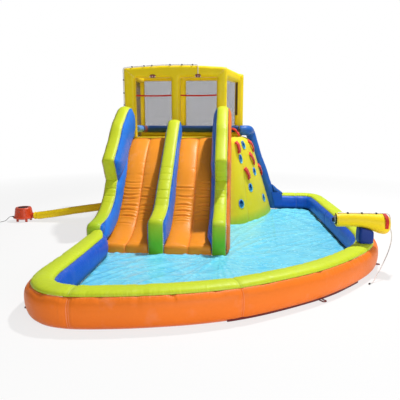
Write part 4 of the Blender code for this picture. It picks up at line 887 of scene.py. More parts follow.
def tube_grid(line: Array, radius: Array | float, sides: int, dome: float = 0.0) -> Array:
    """Sweeps a circle along a line.

    Args:
        line: the tube's middle line.
        radius: one radius, or one for each point of the line.
        sides: points round the tube.
        dome: how far the closed ends stand out, or 0 for open ends.

    Returns:
        The grid of points.
    """
    radii = np.broadcast_to(np.asarray(radius, float), (len(line),))
    across, up = tube_frames(line)
    if dome:
        ahead = headings(line)
        angles = np.linspace(0, math.pi / 2, 7)[1:]
        reach, shrink = dome * np.sin(angles)[:, None], np.cos(angles)
        front = (line[0] - ahead[0] * reach)[::-1]
        line = np.vstack([front, line, line[-1] + ahead[-1] * reach])
        radii = np.concatenate([(radii[0] * shrink)[::-1], radii, radii[-1] * shrink])
        pad = len(angles)
        across = np.vstack([across[:1]] * pad + [across] + [across[-1:]] * pad)
        up = np.vstack([up[:1]] * pad + [up] + [up[-1:]] * pad)
    turns = np.linspace(0, 2 * math.pi, sides, endpoint=False)
    ring = np.cos(turns)[None, :, None] * across[:, None, :] + np.sin(turns)[None, :, None] * up[:, None, :]
    return line[:, None, :] + radii[:, None, None] * ring


def seat(
    obj: bpy.types.Object, body: Body, nodes: Sequence[str] = (),
) -> bpy.types.Object:
    """Puts a piece on its body, in the place of the solids that it stands for.

    Args:
        obj: the piece.
        body: the body that it moves with.
        nodes: the solids that it stands for.

    Returns:
        The piece.
    """
    if nodes:
        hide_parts(*nodes)
    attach(obj, body.value)
    LOG.info("%s: %d faces", obj.name, len(obj.data.polygons))
    return obj


# Studio


@dataclass
class Studio:
    """Camera, lamps, world and floor."""

    eye: tuple[float, float, float] = (0.9135, -7.1, 1.55)
    lens: float = 36.0
    sensor: float = 36.0
    pitch: float = 10.204
    turn: float = 4.362
    world_strength: float = 0.24
    key_power: float = 900.0
    fill_power: float = 330.0
    floor_reach: float = 60.0

    def camera(self) -> None:
        """Sets the camera at the photograph's place and angle."""
        data = bpy.data.cameras.new("camera")
        data.lens, data.sensor_width = self.lens, self.sensor
        camera = bpy.data.objects.new("camera", data)
        camera.location = self.eye
        camera.rotation_euler = (math.radians(90 - self.pitch), 0, math.radians(self.turn))
        bpy.context.scene.collection.objects.link(camera)
        bpy.context.scene.camera = camera

    def lamp(self, name: str, place: Point, aim: Point, power: float, size: float) -> None:
        """Adds a square soft lamp.

        Args:
            name: the lamp's name.
            place: where it hangs.
            aim: the point that it faces.
            power: its power in watts.
            size: its side.
        """
        data = bpy.data.lights.new(name, "AREA")
        data.energy, data.size = power, size
        lamp = bpy.data.objects.new(name, data)
        lamp.location = place
        lamp.rotation_euler = (Vector(aim) - Vector(place)).to_track_quat("-Z", "Y").to_euler()
        bpy.context.scene.collection.objects.link(lamp)

    def world(self) -> None:
        """Gives a white background and a soft, even light."""
        world = bpy.data.worlds.new("studio")
        world.use_nodes = True
        tree = world.node_tree
        background = tree.nodes["Background"]
        background.inputs["Color"].default_value = (1, 1, 1, 1)
        path = tree.nodes.new("ShaderNodeLightPath")
        seen = tree.nodes.new("ShaderNodeMath")
        seen.operation = "MAXIMUM"
        tree.links.new(path.outputs["Is Camera Ray"], seen.inputs[0])
        tree.links.new(path.outputs["Is Transmission Ray"], seen.inputs[1])
        strength = tree.nodes.new("ShaderNodeMapRange")
        strength.inputs["To Min"].default_value = self.world_strength
        strength.inputs["To Max"].default_value = 1.0
        tree.links.new(seen.outputs[0], strength.inputs["Value"])
        tree.links.new(strength.outputs[0], background.inputs["Strength"])
        bpy.context.scene.world = world

    def floor(self) -> None:
        """Lays a pale floor that keeps a soft shadow."""
        reach = self.floor_reach
        mesh = bpy.data.meshes.new("studio_floor")
        corners = [(-reach, -reach, 0), (reach, -reach, 0), (reach, reach, 0), (-reach, reach, 0)]
        mesh.from_pydata(corners, [], [(0, 1, 2, 3)])
        floor = bpy.data.objects.new("studio_floor", mesh)
        floor.location.z = -0.0006
        bpy.context.scene.collection.objects.link(floor)
        board = NodeBoard("studio floor")
        board.set(Base_Color=(0.86, 0.86, 0.86, 1), Roughness=0.9, Specular_IOR_Level=0.0)
        path = board.add("LightPath")
        glow = board.add("Emission", {"Color": (1, 1, 1, 1), "Strength": 1.0})
        seen = board.math("MAXIMUM", path.outputs["Is Camera Ray"], path.outputs["Is Glossy Ray"])
        far = board.add("VectorMath", {0: board.place()}, operation="LENGTH").outputs["Value"]
        seen = board.math("MULTIPLY", seen, board.spread(far, 3.5, 8.0, 0.72, 1.0))
        mix = board.add("MixShader", {0: seen, 1: board.shader.outputs[0], 2: glow.outputs[0]})
        board.tree.links.new(mix.outputs[0], board.tree.nodes["Material Output"].inputs["Surface"])
        mesh.materials.append(board.material)

    def build(self) -> None:
        """Makes the whole studio."""
        self.camera()
        self.world()
        self.floor()
        self.lamp("key", (3.2, 0.55, 9.1), (0.5, -1.2, 0.6), self.key_power, 0.45)
        self.lamp("fill", (4.4, -9.7, 2.0), (0.4, -1.2, 0.8), self.fill_power, 6.0)
        scene = bpy.context.scene
        scene.view_settings.view_transform = "Standard"
        LOG.info("studio ready")


# Pool


@dataclass
class Pool:
    """Wall of three panels round the water, the liner on the ground and the stake loops."""

    width: float = 3.23
    length: float = 4.875
    left: float = -0.69
    back: float = 0.70
    start_y: float = -2.3909
    end_x: float = 1.845
    seam_height: float = 0.27
    crown: float = 0.038
    top_width: float = 0.205
    bulge: float = 0.05
    front_shares: tuple = (
        (0.0, 0.78), (-0.003, 0.88), (-0.004, 0.924), (0.008, 0.962), (0.045, 0.989), (0.099, 1.0),
        (0.2136, 0.996), (0.3375, 0.982), (0.42, 0.9685), (0.515, 0.946),
    )
    side_shares: tuple = (
        (0.61, 0.912), (0.7337, 0.8575), (0.815, 0.81), (0.879, 0.765), (0.93, 0.722), (0.965, 0.68),
        (0.988, 0.63), (0.998, 0.575), (1.0, 0.50), (1.0, 0.075), (0.9945, 0.038), (0.975, 0.0145),
        (0.945, 0.003), (0.90, 0.0),
    )
    bulge_shares: tuple = ((0.0, 0.0), (0.62, 0.12), (0.95, 0.36), (1.0, 0.60), (0.78, 0.83), (0.0, 1.0))
    spacing: float = 0.015
    side_seams: tuple = (2.02, 5.5, 7.1, 8.9)
    strap_height: float = 0.028
    strap_thickness: float = 0.0032
    strap_offset: float = 0.021
    strap_lift: float = 0.0012
    strap_spot: tuple = (0.85, -3.05)
    start_pinch: float = 0.075
    pinch_run: float = 0.24

    def plan(self) -> tuple[Array, int]:
        """Returns the middle line of the wall, and the row where its two runs meet."""
        shares = self.front_shares + self.side_shares
        spots = [(self.left + a * self.width, self.back - b * self.length) for a, b in shares]
        line = curve_through([(self.left, self.start_y), *spots, (self.end_x, self.back)], self.spacing)
        meeting = np.array(spots[len(self.front_shares) - 1])
        return line, int(np.linalg.norm(line - meeting, axis=1).argmin())

    def pinch(self, run: Array) -> Array:
        """Returns how far the inner side draws in near the wall's start."""
        return self.start_pinch * (1 - np.clip(run / self.pinch_run, 0, 1))[:, None] ** 2

    def profile(self, kind: str) -> Array:
        """Returns a panel's section.

        Args:
            kind: outer, top or inner.

        Returns:
            Distance outward and height, from the outside in.
        """
        half = self.top_width / 2
        if kind == "top":
            share = np.linspace(1, -1, 19)
            rise = (1 - np.abs(share) ** 2.6) ** 0.62
            return np.stack([share * half, self.seam_height + self.crown * rise], axis=1)
        bulge = [(half + self.bulge * a, self.seam_height * b) for a, b in self.bulge_shares]
        line = curve_through(bulge, 0.017)
        line[:, 1] = np.clip(line[:, 1], 0, None)
        return line if kind == "outer" else (line * (-1, 1))[::-1]

    def wall(self) -> None:
        """Builds the outer, top and inner panels of both runs."""
        line, meeting = self.plan()
        out, run, half = right_of(line), run_length(line), self.top_width / 2
        side = np.min([np.abs(run - at) for at in (*self.side_seams, float(run[meeting]))], axis=0)[:, None]
        runs = {"front": slice(0, meeting + 1), "side": slice(meeting, len(line))}
        for number, (kind, finish) in enumerate({"outer": ORANGE, "top": LIME, "inner": POOL_BLUE}.items()):
            profile = self.profile(kind)
            cross = run_length(profile)
            away = profile[None, :, 0] + self.pinch(run) * np.clip(-profile[None, :, 0] / half, 0, 1)
            flat = line[:, None, :] + out[:, None, :] * away[..., None]
            grid = np.dstack([flat, np.broadcast_to(profile[None, :, 1], flat.shape[:2])])
            back = cross[-1] - cross
            seam = {"outer": back, "top": np.minimum(cross, back), "inner": cross}[kind]
            seam = np.broadcast_to(seam, grid.shape[:2])
            drawn = 0.006 * bell(seam, 0.012) + 0.008 * bell(side, 0.02)
            drawn = drawn + gathers(run[:, None], seam, 11 + number, 0.009, 0.10, 0.055)
            drawn = drawn + gathers(cross[None, :], side, 31 + number, 0.004, 0.10, 0.05)
            drawn = drawn - 0.0025 * swell(run[:, None] / 0.55, cross[None, :] / 0.2, 3 + number)
            foot = np.clip(grid[..., 2] / 0.05, 0, 1)
            grid = grid - grid_normals(grid) * (drawn * foot)[..., None]
            grid[..., 2] = np.maximum(grid[..., 2], 0)
            nearest = np.minimum(seam, side)
            for name, rows in runs.items():
                part, near = grid[rows], nearest[rows]
                if name == "side":
                    part, near = self.close_end(part, near)
                skin = Skin(f"{kind}_wall_cover_{name}").grid(part, near, closed=False)
                skin.place(finish, f"pool_{name}_{kind}", fill=0.95, solid=False)

    def foot_strap(self) -> None:
        """Builds a dark red band along the foot of the front wall, where the stake loops sit."""
        line, _ = self.plan()
        out = right_of(line)
        rows = (line[:, 1] < self.strap_spot[1]) & (line[:, 0] > self.strap_spot[0])
        offset = self.top_width / 2 + self.strap_offset + 0.002 * swell(run_length(line) / 0.2, 0, 91)
        path = (line + out * offset[:, None])[rows]
        path = np.column_stack([path, np.full(len(path), self.strap_height / 2 + self.strap_lift)])
        side = np.column_stack([out[rows], np.zeros(len(path))])
        ring = rounded_ring(self.strap_height, self.strap_thickness, 16, 5)
        grid = sweep(path, ring, np.array([0.0, 0, 1]), side)
        Skin("foot_strap").grid(grid, caps=0.01).place(DARK_BAND)

    def close_end(self, grid: Array, seam: Array) -> tuple[Array, Array]:
        """Gathers the far end of a panel to the middle of the wall's end.

        Args:
            grid: the panel's points.
            seam: their distances from the nearest seam.

        Returns:
            Both, with the rows of the closed end.
        """
        last = grid[-1]
        ahead = last - grid[-2]
        ahead /= np.linalg.norm(ahead, axis=1, keepdims=True)
        centre = np.array([self.end_x, self.back, self.seam_height * 0.52])
        rows = [grid]
        for share, reach in ((0.95, 0.006), (0.8, 0.011), (0.5, 0.014), (0.2, 0.015), (0.0, 0.015)):
            rows.append((centre + (last - centre) * share + ahead * reach)[None])
        pad = np.repeat(seam[-1:] + 0.03, 5, axis=0)
        return np.vstack(rows), np.vstack([seam, pad])


@dataclass
class Liner:
    """Liner film on the ground inside the walls."""

    pool: Pool
    climb: "ClimbingFace"
    inset: float = 0.111
    spacing: float = 0.0185
    rise: float = 0.012
    slack: float = 0.02
    lane_front: float = -2.3645
    lane_span: tuple = (0.0965, 0.6955)

    def outline(self) -> Array:
        """Returns the liner's edge: the wall's foot, the climbing wall's foot and the slide's front."""
        line, _ = self.pool.plan()
        inner = line - right_of(line) * (self.inset - self.pool.pinch(run_length(line)))
        back = self.climb.back_y - 0.0004
        inner[:, 1] = np.minimum(inner[:, 1], np.where(inner[:, 0] > 1.86, self.pool.back - self.inset, back))
        inner = inner[::3]
        foot = self.climb.plan(0.0)[::-4]
        foot = np.stack([foot[:, 0] + 0.001, np.minimum(foot[:, 1], back) - 0.001], axis=1)
        front, lip = self.pool.start_y, self.lane_front
        near, far = self.lane_span
        slide = [
            (self.climb.left, front), (far, front), (far, lip), (near, lip), (near, front), (-near, front),
            (-near, lip), (inner[0, 0] + 0.002, lip),
        ]
        return np.vstack([inner, foot, slide])

    def build(self) -> None:
        """Fills the outline, and wrinkles it with long folds and two fans of ridges."""
        outline = self.outline()
        keep = np.linalg.norm(outline - np.roll(outline, 1, axis=0), axis=1) > 0.004
        field = Field.fill([outline[keep]], self.spacing)
        x, y = field.flat.T
        bend = 0.5 * swell(x * 0.9, y * 0.9, 61)
        u, v = x * 0.56 + y * 0.83 + bend, -x * 0.83 + y * 0.56 + bend
        long_folds = (1 - np.abs(swell(u * 1.1, v * 7.0, 71))) ** 4
        cross_folds = (1 - np.abs(swell(u * 6.0 + 3, v * 2.6, 72))) ** 5
        small = (1 - np.abs(swell(x * 14, y * 12, 73))) ** 2
        height = self.rise * (0.9 * long_folds + 0.3 * cross_folds + 0.14 * small)
        for away_x, away_y, spokes, depth, near, fall, seed in (
            (1.72 - x, 0.5 - y, 9, 0.016, 1.7, 0.5, 74), (x - 0.80, y + 2.45, 8, 0.014, 1.6, 1.0, 75),
        ):
            reach = np.hypot(away_x, away_y)
            fan = (1 - np.abs(swell(np.arctan2(away_y, away_x) * spokes, 0.4 * reach, seed))) ** 6
            height = height + depth * fan * np.clip(near - fall * reach, 0, 1)
        height = height * (0.35 + 0.65 * np.clip(field.edge / 0.05, 0, 1))
        lifted = np.maximum(0, swell(field.run / 0.07, 0.0, 81)) * 0.022 * bell(field.edge - 0.035, 0.03)
        z = 0.004 + 0.0045 * np.clip(field.edge / 0.02, 0, 1) + np.minimum(height + lifted, 0.019)
        skin = Skin("liner_film").add(np.stack([x, y, z], axis=1), field.lay(), field.faces)
        obj = skin.place(LINER, "pool_floor", solid=False)
        obj.data.set_sharp_from_angle(angle=math.radians(80))


@dataclass
class StakeLoops:
    """Webbing loops at the wall's foot, each with its stitched root."""

    count: int = 3
    lift: float = 0.0016
    softening: float = 0.0012
    shrink: float = 0.999

    def build(self) -> None:
        """Makes each loop in the place of its solid."""
        for number in range(1, self.count + 1):
            node = f"stake_loop_{number}"
            source = bpy.data.objects[node].data
            points = np.array([tuple(vertex.co) for vertex in source.vertices])
            x, y = points[:, 0], points[:, 1]
            lay = np.stack([x + y, x - y, 0 * x + 1], axis=1)
            middle = points.mean(axis=0)
            lift = np.maximum(self.lift * swell(x * 60, y * 60, number), 0)
            points = points + np.stack([0 * lift, 0 * lift, lift], axis=1)
            points = middle + (points - middle) * (1, 1, self.shrink)
            faces = [list(face.vertices) for face in source.polygons]
            obj = Skin(f"stake_loop_band_{number}").add(points, lay, faces).make([DARK_BAND], solid=False)
            bevel = obj.modifiers.new("Soft", "BEVEL")
            bevel.width, bevel.segments = self.softening, 2
            seat(obj, Body.SLIDE, [node])


# Slide


@dataclass
class Slide:
    """Two lanes of paired air tubes between stepped side walls and a divider."""

    run: float = 1.92
    back_y: float = -0.4403
    deck: float = 1.394
    divider_half: float = 0.0935
    lane_width: float = 0.605
    wall_width: float = 0.17
    gap: float = 0.0003
    wall_height: float = 1.86
    divider_height: float = 1.655
    left_front: float = 0.352
    right_front: float = 0.405
    divider_front: float = 0.415
    band_crown: float = 0.03
    lane_crown: float = 0.028
    lip_height: float = 0.12
    crease_start: float = 1.55
    crease_end: tuple = (-1.50, 0.79)
    crease_depth: float = 0.04
    climb_edge: tuple = (-0.86, 0.21)
    tube_spot: tuple = (-0.72, 0.305)
    tube_reach: float = 0.075
    fullness: float = 0.04
    left_creases: tuple = (
        (1.107, 1.205, 1.309, 1.376, 1.478, 1.556, 1.663, 1.804), (1.20, 1.34, 1.473, 1.559, 1.621, 1.721),
    )
    right_creases: tuple = (
        (1.18, 1.33, 1.456, 1.559, 1.65, 1.746), (1.094, 1.20, 1.318, 1.459, 1.544, 1.62, 1.703)
    )
    lane_shares: tuple = (
        (0.0, 1.0), (0.07, 0.992), (0.16, 0.915), (0.26, 0.795), (0.35, 0.665), (0.44, 0.50),
        (0.55, 0.29), (0.63, 0.175), (0.71, 0.09), (0.80, 0.035), (0.90, 0.005), (0.965, 0.0),
    )
    lip_shares: tuple = ((0.985, 0.88), (0.996, 0.6), (1.0, 0.25))
    back_shares: tuple = ((0.0, 0.91), (0.012, 0.955), (0.05, 0.99), (0.10, 1.0), (0.15, 0.988))
    guard_shares: tuple = (
        (0.21, 0.955), (0.29, 0.90), (0.37, 0.845), (0.45, 0.755), (0.53, 0.68), (0.59, 0.628),
        (0.618, 0.604), (0.63, 0.592),
    )
    notch_share: float = 0.425
    notch_spot: tuple = (0.5535, 0.437)
    lower_shares: tuple = (
        (0.575, 0.955), (0.62, 0.62), (0.685, 0.375), (0.75, 0.20), (0.83, 0.075), (0.92, 0.02), (0.975, 0.0)
    )
    round_shares: tuple = ((0.995, 0.93), (1.0, 0.80), (1.0, 0.35))
    divider_shares: tuple = (
        (0.0, 0.93), (0.015, 0.975), (0.05, 1.0), (0.09, 0.985), (0.14, 0.94), (0.22, 0.865), (0.30, 0.785),
        (0.42, 0.668), (0.53, 0.555), (0.62, 0.465), (0.70, 0.385),
    )
    fold_levels: tuple = (
        (0.98, 0.007), (0.90, 0.008), (0.82, 0.009), (0.70, 0.010), (0.60, 0.009), (0.52, 0.007)
    )
    divider_lower: tuple = ((0.78, 0.42), (0.87, 0.16), (0.95, 0.03), (0.978, 0.0))

    @property
    def front_y(self) -> float:
        """Y of the slide's front."""
        return self.back_y - self.run

    @property
    def wall_inner(self) -> float:
        """X of a side wall's lane face."""
        return self.divider_half + self.lane_width + self.gap

    def seam(self, runs: Sequence[Sequence[Point]]) -> Array:
        """Places a seam from the deck over the top and down in front.

        Args:
            runs: smooth stretches as shares of the slide's run and heights, with a corner between two.

        Returns:
            Y and height of each point.
        """
        lines = []
        for points in runs:
            spots = [(self.back_y - a * self.run, z) for a, z in points]
            part = curve_through(spots, 0.014)
            lines.append(part[1:] if lines else part)
        line = np.vstack(lines)
        line[:, 0] = np.maximum(line[:, 0], self.front_y)
        start = np.array([self.back_y, self.deck + self.gap + self.band_crown])
        end = np.array([self.front_y, 0.0])
        top = start + (line[0] - start) * np.linspace(0, 1, 25)[:-1, None]
        low = line[-1] + (end - line[-1]) * np.linspace(0, 1, 9)[1:, None]
        return np.vstack([top, line, low])

    def side_seam(self, front: float) -> Array:
        """Returns the seam along the top of a side wall, with the sharp corners of its notch."""
        notch = self.notch_share * self.wall_height
        upper = [(a, b * self.wall_height) for a, b in self.back_shares + self.guard_shares]
        corner = (self.notch_spot[0], self.notch_spot[1] * self.wall_height)
        under = [tuple(row) for row in np.linspace(upper[-1], corner, 20)]
        lower = [corner] + [(a, front + (notch - front) * b) for a, b in self.lower_shares]
        return self.seam([upper, under, lower + [(a, front * b) for a, b in self.round_shares]])

    def divider_seam(self) -> Array:
        """Returns the seam along the top of the divider."""
        points = [(a, b * self.divider_height) for a, b in self.divider_shares]
        drop = self.divider_shares[-1][1] * self.divider_height - self.divider_front
        points += [(a, self.divider_front + drop * b) for a, b in self.divider_lower]
        return self.seam([points + [(a, self.divider_front * b) for a, b in self.round_shares]])

    def band(self, name: str, node: str, seam: Array, low: float, high: float, seed: int) -> None:
        """Builds the crowned panel along a wall's seam, with a painted reflection that turns it green towards
        the ground where it runs down the front.

        Args:
            name: the piece's name.
            node: the solid that it stands for.
            seam: the wall's seam.
            low: X of its left edge.
            high: X of its right edge.
            seed: picks its creases.
        """
        middle, half = (low + high) / 2, (high - low) / 2
        out = right_of(seam)
        out[0], out[-1] = (1, 0), (-1, 0)
        share = np.linspace(-1, 1, 19)
        rise = self.band_crown * (1 - np.abs(share) ** 2.6) ** 0.62
        run = run_length(seam)
        cross = (share + 1) * half
        near = np.broadcast_to(np.minimum(cross, cross[::-1]), (len(seam), len(share)))
        lift = rise[None, :] - gathers(run[:, None], near, seed, 0.005, 0.06, 0.05)
        lift = lift - 0.003 * bell(near, 0.012) + 0.002 * swell(run[:, None] / 0.3, share[None, :], seed)
        for at, depth in self.band_folds(seam):
            lift = lift - depth * bell(run[:, None] - at, 0.009) * (1 - 0.45 * share[None, :] ** 2)
        flat = seam[:, None, :] + out[:, None, :] * np.maximum(lift, 0.001)[..., None]
        grid = np.dstack([np.broadcast_to(middle + share * half, lift.shape), flat])
        Skin(name).grid(grid, near, closed=False).place(BAND, node, fill=0.95, solid=False)

    def band_folds(self, seam: Array) -> list[tuple[float, float]]:
        """Returns the cross folds of a top panel: place along it, then depth."""
        run = run_length(seam)
        places = []
        for z, depth in self.fold_levels:
            below = np.flatnonzero((seam[:, 1] < z) & (run > 0.5))
            if len(below):
                places.append((float(run[below[0]]), depth))
        return places

    def free(self, y: Array, z: Array, inner: float, outward: int) -> Array:
        """Tells how far a side panel may swell at each place.

        Args:
            y: the places' Y.
            z: their heights.
            inner: X of the solid's open face.
            outward: 1 where the face looks to +X, or -1.

        Returns:
            Shares from 0, where it meets another piece, to 1.
        """
        share = np.sqrt(np.clip((self.back_y - y) / 0.06, 0, 1) * np.clip(z / 0.05, 0, 1))
        outer = abs(inner) > self.wall_inner + 0.01
        if outer and outward > 0:
            before_climb = np.clip((self.climb_edge[0] + self.climb_edge[1] * z - y) / 0.06, 0, 1)
            return share * np.maximum(before_climb, np.clip((z - self.deck - 0.02) / 0.05, 0, 1))
        if outer:
            from_tube = np.hypot(y - self.tube_spot[0], z - self.tube_spot[1])
            return share * np.clip((from_tube - self.tube_reach) / 0.06, 0, 1)
        line = self.lane_line()[::-1]
        lane = np.interp(y, line[:, 0], line[:, 1])
        return share * np.clip((z - lane + 0.02) / 0.07, 0, 1)

    def face(
        self, name: str, node: str, seam: Array, inner: float, outward: int, finish: Finish, seed: int,
        lobed: bool = False,
    ) -> None:
        """Builds a wall's side panel, fuller in the middle than at its seams.

        Args:
            name: the piece's name.
            node: the solid that it stands for.
            seam: the seam along its top.
            inner: X of the solid's open face.
            outward: 1 where the face looks to +X, or -1.
            finish: its cloth.
            seed: picks its creases.
            lobed: whether a slanting crease parts it into two lobes.
        """
        base = np.array([[self.front_y, 0.0], [self.back_y, 0.0]])
        outline = np.vstack([seam, base[1:]])
        keep = np.linalg.norm(outline - np.roll(outline, 1, axis=0), axis=1) > 0.003
        field = Field.fill([outline[keep]], 0.024)
        y, z = field.flat.T
        near = np.linalg.norm(field.flat[:, None, :] - seam[None, ::2, :], axis=2)
        where = near.argmin(axis=1)
        edge, run = near.min(axis=1), run_length(seam)[::2][where]
        swelling = self.fullness * (1 if abs(inner) < 0.2 else 1.4 if inner > self.wall_inner + 0.01 else 1.0)
        swelling = 1.75 * self.fullness if lobed else swelling
        full = swelling * (1 - np.exp(-edge / (0.06 if lobed else 0.045)))
        full = full + 0.004 * swell(y * 2.2, z * 2.2, seed)
        full = full - gathers(run, edge, seed + 1, 0.006, 0.11, 0.07)
        fold = (1 - np.abs(swell(y * 1.6 + z * 0.9, z * 5.5 - y * 2.0, seed + 2))) ** 9
        full = full - 0.005 * fold * np.clip(edge / 0.06, 0, 1)
        if lobed:
            start, end = np.array([self.back_y, self.crease_start]), np.array(self.crease_end)
            step = (end - start) / np.linalg.norm(end - start)
            offset = field.flat - start
            crease = np.abs(offset[:, 0] * step[1] - offset[:, 1] * step[0])
            full = full - self.crease_depth * np.exp(-((crease / 0.035) ** 1.4)) * np.clip(
                (offset @ step) / 0.05, 0, 1,
            )
        full = full * self.free(y, z, inner, outward)
        x = inner + outward * (full - 0.003)
        faces = field.faces if outward > 0 else [face[::-1] for face in field.faces]
        skin = Skin(name).add(np.stack([x, y, z], axis=1), np.stack([run, z, edge], axis=1), faces)
        skin.place(finish, node, fill=0.9, solid=False)

    def walls(self) -> None:
        """Builds the side walls and the divider."""
        near, far = self.wall_inner, self.wall_inner + self.wall_width
        sides = (("left", -1, self.left_front), ("right", 1, self.right_front))
        for number, (side, sign, front) in enumerate(sides):
            seam = self.side_seam(front)
            low, high = sorted((sign * near, sign * far))
            seed = 100 + 20 * number
            wall, solid = f"{side}_wall", f"slide_{side}"
            self.band(f"{wall}_top_cover", f"{solid}_top", seam, low, high, seed)
            self.face(f"{wall}_inner_cover", f"{solid}_inner", seam, sign * near, -sign, BLUE, seed + 3, True)
            self.face(f"{wall}_outer_cover", f"{solid}_outer", seam, sign * far, sign, ORANGE, seed + 7)
        seam, half = self.divider_seam(), self.divider_half
        self.band("divider_top_cover", "divider_top", seam, -half, half, 150)
        self.face("divider_left_cover", "divider_left", seam, -half, -1, BLUE, 153)
        self.face("divider_right_cover", "divider_right", seam, half, 1, BLUE, 157)

    def lane_line(self) -> Array:
        """Returns the lane's profile from the deck to the ground: Y, then height."""
        rise = self.deck - self.lip_height
        points = [(a, self.lip_height + rise * b) for a, b in self.lane_shares]
        points += [(a, self.lip_height * b) for a, b in self.lip_shares]
        line = curve_through([(self.back_y - a * self.run, z) for a, z in points], 0.008)
        return np.vstack([line, [[line[-1][0], 0.0]]])

    def lane(self, side: str, low: float, high: float, seed: int) -> None:
        """Builds one lane with its two tubes, centre crease and cross wrinkles.

        Args:
            side: left or right.
            low: X of its left edge.
            high: X of its right edge.
            seed: picks its creases.
        """
        line = self.lane_line()
        run, out = run_length(line), right_of(line)
        out[-1] = (-1, 0)
        half = (high - low) / 2
        share = np.linspace(0, 1, 25)
        across = np.concatenate([low + half * share, low + half + half * share[1:]])
        local = np.concatenate([share, share[1:]])
        bow = 1 - np.abs(2 * local - 1)
        crown = self.lane_crown * np.minimum(1, np.sqrt(np.maximum(0, 1 - (2 * local - 1) ** 2)))
        lift = np.broadcast_to(crown - self.lane_crown, (len(line), len(across))).copy()
        seam = np.broadcast_to(bow * half / 2, lift.shape)
        lift -= gathers(run[:, None], seam, seed, 0.006, 0.10, 0.06)
        lift += 0.002 * swell(run[:, None] / 0.35, across[None, :] / 0.15, seed + 1)
        scatter = np.random.default_rng(seed)
        for tube, places in enumerate(self.left_creases if side == "left" else self.right_creases):
            where = np.where(across >= low + half, 1, 0) == tube
            for place in places:
                centre, width = scatter.uniform(0.42, 0.58), scatter.uniform(0.34, 0.46)
                depth = scatter.uniform(0.009, 0.014) * (0.6 if place > 1.74 or place < 1.15 else 1)
                turn = 1 if place > 1.4 else -1
                bend = scatter.uniform(0.01, 0.03) * ((local - centre) / 0.5) ** 2 * turn
                window = np.exp(-(((local - centre) / width) ** 4)) * where
                gap = (run[:, None] - place - bend[None, :]) / 0.009
                lift -= depth * window[None, :] * np.exp(-np.abs(gap) ** 1.5)
                for way in (-1, 1):
                    lift += 0.5 * depth * window[None, :] * bell(gap + way * 3.0, 1.7)
        fade = np.clip((run[-1] - run) / 0.05, 0, 1)[:, None]
        lift = lift * fade + (crown - self.lane_crown)[None, :] * (1 - fade)
        lift = np.minimum(lift, 0.009)
        flat = line[:, None, :] + out[:, None, :] * lift[..., None]
        flat[..., 1] = np.maximum(flat[..., 1], 0)
        grid = np.dstack([np.broadcast_to(across, lift.shape), flat])
        skin = Skin(f"{side}_lane_cover").grid(grid, seam, closed=False)
        skin.place(LANE, f"lane_{side}", fill=0.95, solid=False)

    def build(self) -> None:
        """Makes the whole slide."""
        near, far = self.divider_half + self.gap, self.divider_half + self.lane_width
        self.lane("left", -far, -near, 41)
        self.lane("right", near, far, 47)
        self.walls()


# Tower


def pillow(edge: Array, half: float, reach: float, power: float = 2.4) -> Array:
    """Returns the half thickness of an inflated form at distances from its outline."""
    share = np.clip(edge / reach, 0, 1)
    return half * (1 - (1 - share) ** power) ** (1 / power)


def rounded_ring(width: float, depth: float, points: int, power: float = 4.2) -> Array:
    """Returns a rounded rectangle's outline about its middle, evenly spaced.

    Args:
        width: its first measure.
        depth: its second measure.
        points: number of points.
        power: 2 for an oval, and more for squarer corners.

    Returns:
        The flat points.
    """
    angle = np.linspace(0, 2 * math.pi, 16 * points, endpoint=False)
    cosine, sine = np.cos(angle), np.sin(angle)
    size = (np.abs(cosine) ** power + np.abs(sine) ** power) ** (-1 / power)
    ring = closed_up(np.stack([cosine * size * width / 2, sine * size * depth / 2], axis=1))
    return evenly(ring, float(run_length(ring)[-1]) / points)[:-1]


